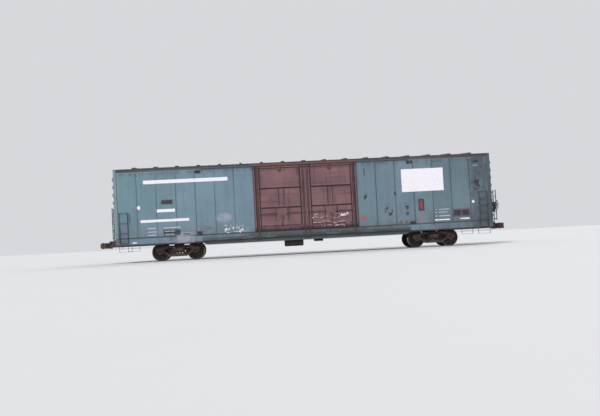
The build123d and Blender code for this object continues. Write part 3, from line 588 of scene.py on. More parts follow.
    def mark(self, s: Shade, fine: Term) -> None:
        """Lay the marks, the softest first, and those of one tint and edge in one coat.

        Args:
            s: The material under construction.
            fine: Fine noise, which frays the edges.
        """
        scuff = s.noise(5.0, 6.0, seed=11.0).over(0.36, 0.44)
        blotch = s.noise(2.6, 6.0, (1.0, 1.0, 1.6), 4.7).over(0.4, 0.58)
        by_edge = sorted(self.marks, key=lambda mark: -mark.soft)
        for soft, tint in dict.fromkeys((mark.soft, mark.tint) for mark in by_edge):
            alike = [mark for mark in self.marks if (mark.soft, mark.tint) == (soft, tint)]
            edge = strongest(mark.inside(s) for mark in alike) + (fine - 0.5) * (0.012 + soft * 1.6)
            worn = (1.0 - blotch) * 0.4 if tint is Tint.PALE else (1.0 - scuff) * 0.07
            s.lay(edge.over(-0.4 * soft, soft) * (tint.strength - worn), tint.value)

    def flake_and_chalk(self, s: Shade) -> None:
        """Lay the places where the paint has flaked off, and the chalk.

        Args:
            s: The material under construction.
        """
        loose = s.noise(4.6, 6.0, (1.0, 1.0, 0.8), 21.0, 0.62, 0.4)
        for area in self.flakes:
            bare = (loose + s.within(area, 0.08) * 0.16).over(0.665, 0.69)
            s.lay(bare * s.within(area, 0.02) * 0.88, Tint.BLACK.value)
        if self.scribble:
            flecks = s.noise(9.0, 2.0, seed=5.0).over(0.6, 0.64)
            area = s.within(self.scribble.area, self.scribble.soft)
            s.lay(self.scribble.strokes(s).most(flecks) * area * 0.85, Tint.WHITE.value)


@dataclass(frozen=True)
class EndPaint(Finish):
    """Paint of the pressed ends and corner posts: sooty valleys, worn rib crests, pale posts on the side."""

    colour: Triple = (96, 120, 126)
    crest: Triple = (116, 138, 144)
    soot: Triple = (48, 52, 58)
    rust: Triple = (98, 64, 52)
    dust: Triple = (96, 92, 90)
    pale_post: Triple = (128, 144, 160)
    dark_post: Triple = (54, 58, 70)

    def coats(self, s: Shade) -> None:
        """Lay the paint of the end and the dirt in its valleys.

        Args:
            s: The material under construction.
        """
        fine = s.noise(8.0, 5.0, seed=3.0)
        streak = s.noise(1.0, 5.0, (9.0, 9.0, 0.5), seed=6.2)
        rise = abs(s.x) - END_FACE
        s.lay(s.noise(0.7, 4.0, seed=1.1).over(0.36, 0.66), self.crest)
        valley = rise.over(0.03, 0.0) * rise.over(-0.01, 0.0)
        s.lay(valley * streak.over(0.35, 0.65, 0.3, 0.7), self.soot)
        s.lay(rise.over(0.05, 0.085) * 0.4, self.crest)
        s.lay(streak.over(0.52, 0.72) * 0.55, self.soot)
        s.lay(s.z.over(1.9, 1.0) * fine.over(0.35, 0.7) * 0.5, self.dust)
        s.lay(s.noise(3.4, 5.0, (1.0, 1.0, 0.6), 8.8).over(0.6, 0.7) * 0.7, self.rust)
        on_side = abs(s.y).over(1.5, 1.53) * abs(s.side).over(9.335, 9.325)
        s.lay(on_side * s.side.over(0.0, -1.0) * (0.5 + 0.5 * fine) * 0.7, self.pale_post)
        s.lay(on_side * s.side.over(0.0, 1.0) * streak.over(0.3, 0.6, 0.6) * 0.85, self.dark_post)
        s.surface(0.66 + 0.2 * fine, 0.0, fine * 0.3 + streak * 0.2, 0.006)


@dataclass(frozen=True)
class DoorPaint(Finish):
    """Oxide paint of the doors and posts, dark in the grooves, with scuffs, rust runs, painted shadows and
    painted highlights.
    """

    colour: Triple = (108, 76, 82)
    pale: Triple = (126, 92, 94)
    dark: Triple = (44, 28, 34)
    rust: Triple = (122, 78, 66)
    post: Triple = (126, 98, 96)
    grooves_x: tuple[float, ...] = (0.256, 2.258, 2.45)
    shadows_x: tuple[float, ...] = (0.11, 2.375)
    rails_z: tuple[float, ...] = (3.325, 2.365, 1.465)
    tall_lines: tuple[Area, ...] = ((1.095, 1.335, 2.42, 3.27), (0.915, 1.515, 1.74, 2.33))
    scribble: Scribble = DOOR_SCRIBBLE

    def coats(self, s: Shade) -> None:
        """Lay the oxide paint, its grooves, its dirt, its painted shade and highlights, and its chalk.

        Args:
            s: The material under construction.
        """
        off = abs(s.side)
        broad = s.noise(0.8, 4.0, seed=4.0)
        fine = s.noise(8.0, 5.0, seed=1.5)
        streak = s.noise(1.0, 5.0, (9.0, 9.0, 0.5), 2.6)
        s.lay(broad.over(0.35, 0.7), self.pale)
        s.lay(s.noise(1.0, 4.0, (0.5, 0.5, 7.0), 6.1).over(0.5, 0.7) * 0.3, self.dark)
        s.lay(streak.over(0.5, 0.7) * 0.35, self.dark)
        # Painted highlight with wear: the raised members lighter than the recessed field.
        s.lay(abs(s.y).over(1.549, 1.562) * fine.over(0.35, 0.7) * 0.5, self.pale)
        # Painted highlight: the centre stiles and the posts at the edges of the opening lighter.
        post = off.over(2.46, 2.48).most(off.over(0.06, 0.045)) * streak.over(0.3, 0.6, 0.4)
        s.lay(post * 0.14, self.post)
        leaf = off.over(2.27, 2.22) * off.over(0.2, 0.26)
        # Painted highlight: a light line along the top of each rail.
        for place in self.rails_z:
            s.lay(s.z.near(place + 0.055, 0.016, 0.03) * leaf * 0.45, self.pale)
        # Dirt in the grooves, and painted shadows under the rails, under the header and beside the lock
        # pipes.
        s.lay(self.groove_dirt_and_shadows(off, s.z, leaf) * 0.92, self.dark)
        s.lay(s.z.over(1.5, 1.27) * streak.over(0.35, 0.6, 0.65, 0.95), self.dark)
        smear = s.side.near(-0.35, 0.0, 0.17) * s.z.near(4.08, 0.0, 0.34) * streak.over(0.3, 0.55)
        s.lay(smear * 0.7, self.dark)
        s.lay(s.z.near(1.4, 0.05, 0.03) * leaf * fine.over(0.3, 0.6) * 0.4, self.pale)
        header = s.z.over(4.3, 4.33) * s.noise(1.0, 4.0, (4.0, 4.0, 1.4), 9.9).over(0.35, 0.55)
        run = s.noise(1.0, 4.0, (20.0, 20.0, 0.8), 8.1).over(0.6, 0.72) * broad.over(0.4, 0.6)
        s.lay((header * 0.7).most(run * 0.4), self.rust)
        area = s.within(self.scribble.area, self.scribble.soft)
        s.lay(self.scribble.strokes(s) * area * 0.9, Tint.WHITE.value)
        s.surface(0.66 + 0.2 * fine, 0.0, fine * 0.3 + s.noise(1.4, 2.0, seed=2.0) * 0.7, 0.008)

    def groove_dirt_and_shadows(self, off: Term, z: Term, leaf: Term) -> Term:
        """The dark lines between the parts of a leaf and round it: dirt in the grooves, and painted shadows
        under the rails, under the header and beside the lock pipes.

        Args:
            off: Distance from the middle of the doors.
            z: Height.
            leaf: Where the field of a leaf is.

        Returns:
            How dark each place is.
        """
        lines = [off.near(place, 0.02, 0.025) for place in self.grooves_x]
        lines += [off.near(place, 0.034, 0.03) * 0.8 for place in self.shadows_x]
        lines += [z.near(place - 0.026, 0.028, 0.024) * leaf for place in self.rails_z]
        for left, right, low, high in self.tall_lines:
            tall = z.between(low, high, 0.02)
            lines += [off.near(place, 0.012, 0.018) * tall * 0.85 for place in (left, right)]
        beside = off.over(0.92, 0.9).most(off.over(1.51, 1.53)) * leaf
        lines.append(z.near(2.06, 0.012, 0.018) * beside * 0.85)
        lines.append(z.near(4.29, 0.022, 0.02))
        lines.append(z.near(SILL_TOP + 0.02, 0.03, 0.02))
        lines.append(off.over(2.515, 2.545) * 0.75)
        return strongest(lines)


@dataclass(frozen=True)
class RoofPaint(Finish):
    """Dirty roof sheets: stains along the seams and down the slopes, and a dark edge above the sides."""

    colour: Triple = (96, 92, 96)
    worn: Triple = (116, 110, 110)
    stain: Triple = (82, 64, 56)
    edge: Triple = (58, 54, 64)
    seam: Triple = (48, 42, 46)
    header_top: Triple = (70, 46, 54)
    header: Triple = (106, 76, 80)
    lip: Triple = (92, 108, 114)
    left_end: Triple = (52, 54, 68)
    right_end: Triple = (58, 60, 64)
    seam_pitch: float = 1.043

    def coats(self, s: Shade) -> None:
        """Lay the stains of the sheets and the colours of the edge.

        Args:
            s: The material under construction.
        """
        grain = s.noise(24.0, 4.0, seed=0.4)
        streak = s.noise(1.0, 5.0, (5.0, 0.8, 5.0), 3.7)
        s.lay(s.noise(0.8, 5.0, seed=2.0).over(0.38, 0.64), self.worn)
        s.lay(streak.over(0.52, 0.7) * 0.6, self.stain)
        away = s.maths("PINGPONG", s.x, self.seam_pitch / 2)
        s.lay(away.over(0.17, 0.1) * grain.over(0.35, 0.6) * 0.45, self.stain)
        s.lay(away.near(0.105, 0.01, 0.012) * 0.6, self.seam)
        edge = abs(s.y).over(1.46, 1.54)
        soiled = streak.over(0.35, 0.6, 0.75)
        s.lay(edge * soiled, self.edge)
        over_doors = abs(s.side).over(2.7, 2.4)
        s.lay(edge * over_doors * 0.8, self.header_top)
        s.lay(edge * over_doors * s.z.over(4.535, 4.51) * soiled, self.header)
        s.lay(edge * s.z.over(4.48, 4.455) * (1.0 - over_doors) * 0.6, self.lip)
        s.lay(edge * s.side.over(-7.4, -9.0) * 0.6, self.left_end)
        s.lay(edge * s.side.over(5.4, 8.6) * 0.8, self.right_end)
        s.lay(grain.over(0.5, 0.75) * 0.25, self.worn)
        s.surface(0.6 + 0.25 * grain, 0.15, grain * 0.6 + streak * 0.4, 0.004, 0.6)


@dataclass(frozen=True)
class BoardPaint(Finish):
    """Bare boards: black door stops high up, worn red ones in the middle and dark brown ones at the sill."""

    colour: Triple = (60, 40, 44)
    red: Triple = (118, 66, 78)
    black: Triple = (36, 36, 42)
    dark: Triple = (46, 34, 38)
    scuffed: Triple = (124, 116, 122)

    def coats(self, s: Shade) -> None:
        """Lay the colours of the boards by their places.

        Args:
            s: The material under construction.
        """
        grain = s.noise(1.0, 5.0, (30.0, 30.0, 4.0), 1.2)
        scuff = s.noise(9.0, 5.0, seed=2.4)
        s.lay(s.side.near(5.735, 0.09, 0.012) * s.z.near(2.13, 0.225, 0.012), self.red)
        s.lay(s.z.over(3.8, 4.2), self.black)
        s.lay(grain.over(0.5, 0.7) * 0.5, self.dark)
        s.lay(scuff.over(0.56, 0.7) * 0.4, self.scuffed)
        s.surface(0.7 + 0.2 * scuff, 0.0, grain, 0.002, 0.6)


@dataclass(frozen=True)
class TrackPaint(Finish):
    """Grimy paint of the lower door track, oxide brown at its brackets."""

    colour: Triple = (84, 94, 96)
    grime_and_shade: Triple = (56, 58, 60)
    bracket: Triple = (66, 46, 48)
    worn: Triple = (122, 134, 130)
    bracket_x: tuple[float, ...] = (0.0, 2.43)

    def coats(self, s: Shade) -> None:
        """Lay the grime, the brackets' colour and the worn lips.

        Args:
            s: The material under construction.
        """
        streak = s.noise(1.0, 5.0, (2.5, 2.5, 9.0), 3.7)
        grain = s.noise(18.0, 4.0, seed=0.4)
        s.lay(s.noise(1.4, 5.0, seed=2.0).over(0.36, 0.64), self.grime_and_shade)
        s.lay(streak.over(0.5, 0.7) * 0.6, self.grime_and_shade)
        for place in self.bracket_x:
            s.lay(abs(s.x).near(place, 0.16, 0.06) * 0.85, self.bracket)
        lip = s.z.over(1.012, 1.022).most(s.z.near(0.98, 0.006, 0.008))
        s.lay(lip * grain.over(0.35, 0.6) * 0.6, self.worn)
        s.surface(0.6 + 0.3 * grain, 0.2, grain, 0.002, 0.6)


@dataclass(frozen=True)
class Weathered(Finish):
    """A metal or paint that three colours share by noise, with runs and a bump: castings, grime, rust."""

    second: Triple
    third: Triple
    scale: float
    streaks: Triple = (3.0, 3.0, 0.6)
    roughness: float = 0.75
    grain_depth: float = 0.0015
    low_dust: float = 0.0
    dust: Triple = (112, 100, 92)

    def coats(self, s: Shade) -> None:
        """Lay the second and third colours over the first, and dust low down.

        Args:
            s: The material under construction.
        """
        broad = s.noise(self.scale, 5.0, seed=self.scale)
        streak = s.noise(1.0, 5.0, self.streaks, 3.7)
        grain = s.noise(30.0, 4.0, seed=0.4)
        s.lay(broad.over(0.38, 0.64), self.second)
        s.lay(streak.over(0.5, 0.68) * 0.75, self.third)
        s.lay(grain.over(0.5, 0.75) * 0.3, self.second)
        if self.low_dust:
            s.lay(s.z.over(0.9, 0.1) * broad.over(0.3, 0.6) * self.low_dust, self.dust)
        s.surface(self.roughness - 0.12 + 0.24 * grain, 0.0, grain, self.grain_depth, 0.6)


@dataclass(frozen=True)
class WheelSteel(Finish):
    """Wheel steel: rusty plates, a dark rim face and a bright running band on the tread."""

    colour: Triple = (74, 58, 52)
    rust: Triple = (52, 44, 44)
    rim: Triple = (96, 84, 78)
    bright: Triple = (176, 174, 172)
    oil: Triple = (36, 32, 32)

    def coats(self, s: Shade) -> None:
        """Lay the colours by their distance from the axle.

        Args:
            s: The material under construction.
        """
        across = abs(abs(s.x) - TRUCK_X) - HALF_WHEELBASE
        rise = s.z - AXLE_Z
        radius = (across * across + rise * rise) ** 0.5
        s.lay(s.noise(6.0, 4.0, seed=2.0).over(0.35, 0.65), self.rust)
        s.lay(radius.over(0.36, 0.372) * 0.6, self.rim)
        tread = radius.over(0.405, 0.411) * abs(s.y).over(0.69, 0.7) * abs(s.y).over(0.818, 0.806)
        s.lay(tread, self.bright)
        s.lay(radius.over(0.14, 0.08) * 0.6, self.oil)
        s.surface(0.75 - 0.45 * tread, tread * 0.95, s.noise(40.0, 4.0), 0.001)


@dataclass(frozen=True)
class Planks(Finish):
    """Worn wood boards that run across the car."""

    colour: Triple = (112, 92, 74)
    darker: Triple = (82, 66, 54)
    gap: Triple = (44, 36, 30)
    width: float = 0.145

    def coats(self, s: Shade) -> None:
        """Lay a tone for each board, its grain and the gaps.

        Args:
            s: The material under construction.
        """
        s.lay(s.random(s.maths("FLOOR", s.x / self.width)) * 0.6, self.darker)
        grain = s.noise(1.0, 5.0, (60.0, 3.0, 60.0))
        s.lay(grain.over(0.45, 0.7) * 0.5, self.gap)
        edge = s.maths("PINGPONG", s.x, self.width / 2).over(0.006, 0.002)
        s.lay(edge, self.gap)
        s.surface(0.8, 0.0, grain * 0.4 - edge, 0.004, 0.7)


FINISHES = (
    BodyPaint("side_left_paint", marks=LEFT_MARKS, scribble=LEFT_SCRIBBLE),
    BodyPaint(
        "side_right_paint", (102, 121, 135), chalk=(114, 135, 147), marks=RIGHT_MARKS, flakes=RIGHT_FLAKES
    ),
    BodyPaint("sill_paint", marks=tuple(mark for mark in LEFT_MARKS if mark.low < SILL_TOP), joints=False),
    EndPaint("end_paint"),
    DoorPaint("door_paint"),
    RoofPaint("roof_metal"),
    TrackPaint("track_paint"),
    BoardPaint("board_brown"),
    WheelSteel("wheel_steel"),
    Planks("floor_wood"),
    Weathered("ladder_paint", (66, 82, 90), (54, 60, 66), (72, 56, 52), 4.0, (9.0, 9.0, 2.0)),
    Weathered("lock_steel", (104, 78, 80), (82, 58, 62), (54, 36, 40), 4.0, (30.0, 30.0, 2.0)),
    Weathered("underframe_grime", (58, 50, 50), (70, 60, 58), (82, 64, 56), 2.0, low_dust=0.3),
    Weathered("dark_metal", (52, 48, 50), (66, 58, 56), (80, 60, 52), 4.0, low_dust=0.3),
    Weathered("cast_dark", (88, 69, 68), (104, 84, 79), (62, 47, 48), 4.5, grain_depth=0.004, low_dust=0.6),
    Weathered("cast_rust", (80, 60, 54), (62, 48, 46), (96, 68, 56), 5.0, grain_depth=0.004),
    Weathered("spring_steel", (84, 64, 54), (60, 50, 46), (104, 74, 58), 9.0, low_dust=0.5),
    Weathered("rubber_seal", (34, 30, 32), (48, 42, 42), (60, 46, 44), 6.0, roughness=0.8),
    Weathered("blank_plate", (44, 44, 50), (58, 58, 64), (66, 54, 52), 6.0, roughness=0.6),
)
NODES_BY_FINISH = {
    "side_left_paint": ("side_wall_near_a", "side_wall_far_b"),
    "side_right_paint": ("side_wall_near_b", "side_wall_far_a"),
    "sill_paint": ("side_sills",),
    "ladder_paint": ("side_ladders", "sill_steps", "end_ladders"),
    "end_paint": ("end",),
    "door_paint": ("door",),
    "roof_metal": ("roof", "side_plates", "upper_tracks"),
    "track_paint": ("lower_tracks",),
    "lock_steel": ("lock_gear",),
    "board_brown": ("card_boards",),
    "dark_metal": (
        "end_platforms", "brake", "hand_brake", "uncoupling_levers", "train_pipe", "air_reservoir"
    ),
    "cast_rust": ("angle_cocks", "coupler", "knuckle"),
    "underframe_grime": ("center", "body_bolsters", "crossbearers", "floor_stringers", "jack_pads"),
    "cast_dark": ("brake_beams", "control_valve", "side_frames", "truck_bolster", "bearings"),
    "spring_steel": ("spring_nests",),
    "wheel_steel": ("wheelset",),
    "floor_wood": ("floor",),
}


@dataclass
class Palette:
    """All the materials, made once and shared."""

    made: dict[str, bpy.types.Material] = field(default_factory=dict)

    def fill(self) -> None:
        """Make every material."""
        self.made = {finish.name: finish.make() for finish in FINISHES}

    def __getitem__(self, name: str) -> bpy.types.Material:
        """A material by name."""
        return self.made[name]

    def dress_nodes(self) -> None:
        """Give every CAD node the finish whose key is the longest start of its name."""
        finish_of = {start: finish for finish, starts in NODES_BY_FINISH.items() for start in starts}
        for name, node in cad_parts.items():
            finish = finish_of[max((start for start in finish_of if name.startswith(start)), key=len)]
            node.data.materials.clear()
            node.data.materials.append(self[finish])
            for polygon in node.data.polygons:
                polygon.material_index = 0
            LOG.info("%s wears %s", name, finish)


# Meshes


def place_piece(name: str, data: bpy.types.Mesh, slot: str, body: str) -> bpy.types.Object:
    """Link a finished mesh as a piece of a body, smooth but sharp at its corners.

    Args:
        name: The piece's name.
        data: Its mesh, in its place in the frame.
        slot: The record's material slot; not used.
        body: The CAD body that carries it.

    Returns:
        The piece.
    """
    data.shade_smooth()
    data.set_sharp_from_angle(angle=SHARP)
    piece = bpy.data.objects.new(name, data)
    bpy.context.scene.collection.objects.link(piece)
    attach(piece, body)
    LOG.info("%s: %d faces on %s", name, len(data.polygons), body)
    return piece


def bent(points: Sequence[Triple], radius: float, steps: int = 5) -> list[Vector]:
    """A path through the points with each corner rounded.

    Args:
        points: Corners of the path.
        radius: Distance from a corner at which its bend starts.
        steps: Points along a bend.

    Returns:
        The points of the rounded path.
    """
    corners = [Vector(point) for point in points]
    path = [corners[0]]
    for before, corner, after in zip(corners, corners[1:], corners[2:]):
        start, stop = (
            corner + (far - corner).normalized() * min(radius, (far - corner).length / 2)
            for far in (before, after)
        )
        for step in range(steps + 1):
            share = step / steps
            path.append(start.lerp(corner, share).lerp(corner.lerp(stop, share), share))
    path.append(corners[-1])
    return path


class Workpiece:
    """A mesh under construction, in metres and in its place in the frame."""

    def __init__(self) -> None:
        """Start with nothing."""
        self.mesh = bmesh.new()

    def block(self, x: Pair, y: Pair, z: Pair, bevel: float) -> None:
        """Add a box with bevelled edges.

        Args:
            x: Limits along the car.
            y: Limits across the car.
            z: Limits in height.
            bevel: Width of the bevels.
        """
        middle = Vector((sum(x) / 2, sum(y) / 2, sum(z) / 2))
        size = (abs(x[1] - x[0]), abs(y[1] - y[0]), abs(z[1] - z[0]), 1.0)
        made = bmesh.ops.create_cube(self.mesh, matrix=Matrix.Translation(middle) @ Matrix.Diagonal(size))
        edges = list(dict.fromkeys(edge for vertex in made["verts"] for edge in vertex.link_edges))
        bmesh.ops.bevel(self.mesh, geom=edges, offset=bevel, segments=2, profile=0.5, affect="EDGES")

    def border(self, wide: Pair, tall: Pair, depth: Pair, rim: float, bevel: float, on_end: bool) -> None:
        """Add a raised border just inside a rectangle of a side or of an end.

        Args:
            wide: Limits of the rectangle across.
            tall: Its limits in height.
            depth: Limits of the border's thickness.
            rim: Width of the border.
            bevel: Width of the bevels.
            on_end: Whether the rectangle is on an end of the car.
        """
        bars = [((place, place + rim), tall) for place in (wide[0], wide[1] - rim)]
        bars += [(wide, (place, place + rim)) for place in (tall[0], tall[1] - rim)]
        for across, rise in bars:
            limits = (depth, across) if on_end else (across, depth)
            self.block(*limits, rise, bevel)

    def rod(
        self, start: Sequence[float], stop: Sequence[float], radius: float, sides: int, tip: float = 0.0
    ) -> None:
        """Add a round bar between two points.

        Args:
            start: Its first end.
            stop: Its other end.
            radius: Radius at the start.
            sides: Faces round it.
            tip: Radius at the other end, where it differs.
        """
        axis = Vector(stop) - Vector(start)
        turn = axis.to_track_quat("Z", "Y").to_matrix().to_4x4()
        place = Matrix.Translation((Vector(start) + Vector(stop)) / 2) @ turn
        radii = {"radius1": radius, "radius2": tip or radius}
        bmesh.ops.create_cone(
            self.mesh, cap_ends=True, segments=sides, depth=axis.length, matrix=place, **radii
        )

    def tube(self, path: Sequence[Sequence[float]], radius: float, sides: int = 10) -> None:
        """Sweep a round section along a path of points, closed at both ends.

        Args:
            path: The points.
            radius: Radius of the section.
            sides: Faces round it.
        """
        points = [Vector(point) for point in path]
        rings = []
        side = Vector(UP).cross(points[1] - points[0])
        if side.length < 1e-6:
            side = Vector((1.0, 0.0, 0.0))
        for index, point in enumerate(points):
            ahead = points[min(index + 1, len(points) - 1)] - points[max(index - 1, 0)]
            ahead.normalize()
            side = (side - ahead * side.dot(ahead)).normalized()
            up = ahead.cross(side)
            turns = (2 * math.pi * step / sides for step in range(sides))
            section = [radius * (math.cos(turn) * side + math.sin(turn) * up) for turn in turns]
            rings.append([self.mesh.verts.new(point + off) for off in section])
        for first, second in zip(rings, rings[1:]):
            for step in range(sides):
                after = (step + 1) % sides
                self.mesh.faces.new((first[step], first[after], second[after], second[step]))
        self.mesh.faces.new(rings[0][::-1])
        self.mesh.faces.new(rings[-1])

    def plate(self, outline: Sequence[Triple], thickness: Triple) -> None:
        """Add a plate.

        Args:
            outline: Corners of its flat outline in space.
            thickness: The vector from its front to its back.
        """
        front = [self.mesh.verts.new(Vector(point)) for point in outline]
        back = [self.mesh.verts.new(Vector(point) + Vector(thickness)) for point in outline]
        self.mesh.faces.new(front)
        self.mesh.faces.new(back[::-1])
        for step in range(len(outline)):
            after = (step + 1) % len(outline)
            self.mesh.faces.new((front[after], front[step], back[step], back[after]))

    def move(self, matrix: Matrix) -> None:
        """Move everything made so far."""
        bmesh.ops.transform(self.mesh, matrix=matrix, verts=self.mesh.verts)

    def repeat(self, matrix: Matrix) -> None:
        """Add a moved copy of everything made so far.

        Args:
            matrix: The move.
        """
        start = [*self.mesh.verts, *self.mesh.edges, *self.mesh.faces]
        made = bmesh.ops.duplicate(self.mesh, geom=start)
        vertices = [item for item in made["geom"] if isinstance(item, bmesh.types.BMVert)]
        bmesh.ops.transform(self.mesh, matrix=matrix, verts=vertices)

    def mesh_data(self, name: str, material: bpy.types.Material) -> bpy.types.Mesh:
        """Close the work.

        Args:
            name: Name of the mesh.
            material: Its material.

        Returns:
            The finished mesh.
        """
        bmesh.ops.recalc_face_normals(self.mesh, faces=self.mesh.faces)
        data = bpy.data.meshes.new(name)
        self.mesh.to_mesh(data)
        self.mesh.free()
        data.materials.append(material)
        return data


# Places of small things: each spot is a point and the direction that the thing faces


def grid(x: Iterable[float], y: Iterable[float], z: Iterable[float], aim: Triple) -> Spots:
    """A spot at each meeting of the given places on the three axes."""
    across, rise = tuple(y), tuple(z)
    return [((a, b, c), aim) for a in x for b in across for c in rise]


def ring(middle: Triple, radius: float, count: int, aim: Triple, first: float = 0.0) -> Spots:
    """Spots evenly round an upright circle.

    Args:
        middle: The middle of the circle.
        radius: Its radius.
        count: The number of spots.
        aim: The direction that they and the circle face, along X or Y.
        first: The angle of the first spot, in degrees.

    Returns:
        The spots.
    """
    x, y, z = middle
    turns = [math.radians(first + 360 * step / count) for step in range(count)]
    places = [(radius * math.cos(turn), z + radius * math.sin(turn)) for turn in turns]
    return [((x, y + off, rise) if aim[0] else (x + off, y, rise), aim) for off, rise in places]


def mirrored(spots: Spots) -> Spots:
    """The spots and their images on the other side of the car."""
    return spots + [((x, -y, z), (i, -j, k)) for (x, y, z), (i, j, k) in spots]


def turned(spots: Spots) -> Spots:
    """The spots and their copies half a turn round the upright axis."""
    return spots + [((-x, -y, z), (-i, -j, k)) for (x, y, z), (i, j, k) in spots]


# Geometry Nodes


class Recipe(Graph):
    """A Geometry Nodes tree that turns the points of a carrier mesh into finished geometry."""

    def __init__(self, name: str, sizes: Mapping[str, float]) -> None:
        """Start a tree with a geometry input, a material input and one input for each size.

        Args:
            name: Name of the tree.
            sizes: The named sizes and their values.
        """
        super().__init__(bpy.data.node_groups.new(name, "GeometryNodeTree"))
        self.sizes = sizes
        self.inputs = {}
        kinds = {"Points": "Geometry", "Material": "Material"} | dict.fromkeys(sizes, "Float")
        for label, kind in kinds.items():
            self.inputs[label] = self.socket(label, "INPUT", kind)
        self.socket("Geometry", "OUTPUT", "Geometry")
        self.entry = self.node("NodeGroupInput")

    def socket(self, label: str, way: str, kind: str) -> bpy.types.NodeTreeInterfaceSocket:
        """A new socket of the whole tree."""
        return self.tree.interface.new_socket(label, in_out=way, socket_type="NodeSocket" + kind)

    def size(self, name: str) -> Term:
        """A named size of the tree."""
        return Term(self, self.entry.outputs[name])

    def close(self, form: bpy.types.NodeSocket) -> None:
        """Put a form at every point, with its Z along the point's "aim" attribute, and end the tree.

        Args:
            form: The geometry of the form.
        """
        stored = self.node("GeometryNodeInputNamedAttribute", {"data_type": "FLOAT_VECTOR"}, {"Name": "aim"})
        aim = next(out for out in stored.outputs if out.enabled and out.name == "Attribute")
        turn = self.node("FunctionNodeAlignRotationToVector", {"axis": "Z"}, {"Vector": aim})
        sockets = {"Points": self.entry.outputs["Points"], "Instance": form, "Rotation": turn.outputs[0]}
        copies = self.node("GeometryNodeInstanceOnPoints", inputs=sockets)
        real = self.node("GeometryNodeRealizeInstances", inputs={0: copies.outputs[0]})
        sockets = {"Geometry": real.outputs[0], "Material": self.entry.outputs["Material"]}
        dressed = self.node("GeometryNodeSetMaterial", inputs=sockets)
        self.node("NodeGroupOutput", inputs={0: dressed.outputs[0]})

    def run(self, name: str, spots: Spots, material: bpy.types.Material) -> bpy.types.Mesh:
        """Evaluate the tree once on a set of spots.

        Args:
            name: Name of the mesh.
            spots: Where the forms go, and the direction of each form's Z.
            material: The material of the result.

        Returns:
            A plain mesh.
        """
        data = bpy.data.meshes.new(name + "_points")
        data.from_pydata([place for place, _ in spots], [], [])
        stored = data.attributes.new("aim", "FLOAT_VECTOR", "POINT")
        stored.data.foreach_set("vector", [value for _, aim in spots for value in aim])
        carrier = bpy.data.objects.new(name + "_points", data)
        bpy.context.scene.collection.objects.link(carrier)
        modifier = carrier.modifiers.new("recipe", "NODES")
        modifier.node_group = self.tree
        for label, value in {"Material": material, **self.sizes}.items():
            modifier[self.inputs[label].identifier] = value
        graph = bpy.context.evaluated_depsgraph_get()
        mesh = bpy.data.meshes.new_from_object(carrier.evaluated_get(graph))
        mesh.name = name
        bpy.data.objects.remove(carrier)
        for spare in [item for item in mesh.attributes if item.name == "aim"]:
            mesh.attributes.remove(spare)
        return mesh


class Repeated:
    """A small form that repeats."""

    def recipe(self) -> Recipe:
        """The tree that makes the form and places it; each form has its own."""
        raise NotImplementedError


@dataclass(frozen=True)
class Fastener(Repeated):
    """A bolt head on a washer, or a domed rivet."""

    radius: float
    height: float
    washer: float = 0.0
    washer_thick: float = 0.008

    def recipe(self) -> Recipe:
        """The tree that makes and places this fastener.

        Returns:
            The finished tree.
        """
        sizes = {"Head radius": self.radius, "Head height": self.height, "Washer radius": self.washer}
        made = Recipe("bolt" if self.washer else "rivet", sizes)
        radius, height = made.size("Head radius"), made.size("Head height")
        if not self.washer:
            ball = made.node("GeometryNodeMeshUVSphere", inputs={"Segments": 8, "Rings": 6, "Radius": radius})
            flat = made.node("ShaderNodeCombineXYZ", inputs={0: 1.0, 1: 1.0, 2: height / radius})
            sockets = {"Geometry": ball.outputs[0], "Scale": flat.outputs[0]}
            made.close(made.node("GeometryNodeTransform", inputs=sockets).outputs[0])
            return made
        parts = made.node("GeometryNodeJoinGeometry")
        drums = ((6, radius, height * 2.0), (12, made.size("Washer radius"), self.washer_thick))
        for sides, wide, tall in drums:
            sockets = {"Vertices": sides, "Radius": wide, "Depth": tall}
            drum = made.node("GeometryNodeMeshCylinder", inputs=sockets)
            made.tree.links.new(drum.outputs[0], parts.inputs[0])
        made.close(parts.outputs[0])
        return made


@dataclass(frozen=True)
class Crossbar(Repeated):
    """A flat bar, such as the bearing bars of a grating."""

    length: float
    width: float
    depth: float

    def recipe(self) -> Recipe:
        """The tree that makes and places this bar.

        Returns:
            The finished tree.
        """
        made = Recipe("crossbar", {"Length": self.length, "Width": self.width, "Depth": self.depth})
        sides = {axis: made.size(size) for axis, size in enumerate(made.sizes)}
        size = made.node("ShaderNodeCombineXYZ", inputs=sides)
        made.close(made.node("GeometryNodeMeshCube", inputs={"Size": size.outputs[0]}).outputs[0])
        return made


@dataclass(frozen=True)
class Coil(Repeated):
    """A coil of round wire that stands on its spot."""

    radius: float
    wire: float
    turns: float
    height: float
    steps: int = 18
    sides: int = 7

    def recipe(self) -> Recipe:
        """The tree that winds and places this coil.

        Returns:
            The finished tree.
        """
        sizes = {"Radius": self.radius, "Wire": self.wire, "Turns": self.turns, "Height": self.height}
        made = Recipe("coil", sizes)
        radius, wire = made.size("Radius"), made.size("Wire")
        sockets = {"Resolution": self.steps, "Rotations": made.size("Turns"), "Start Radius": radius}
        sockets |= {"End Radius": radius, "Height": made.size("Height") - wire * 2.0}
        spiral = made.node("GeometryNodeCurveSpiral", inputs=sockets)
        sockets = {"Resolution": self.sides, "Radius": wire}
        section = made.node("GeometryNodeCurvePrimitiveCircle", inputs=sockets)
        sockets = {"Curve": spiral.outputs[0], "Profile Curve": section.outputs[0], "Fill Caps": True}
        made.close(made.node("GeometryNodeCurveToMesh", inputs=sockets).outputs[0])
        return made


# Sub-assemblies


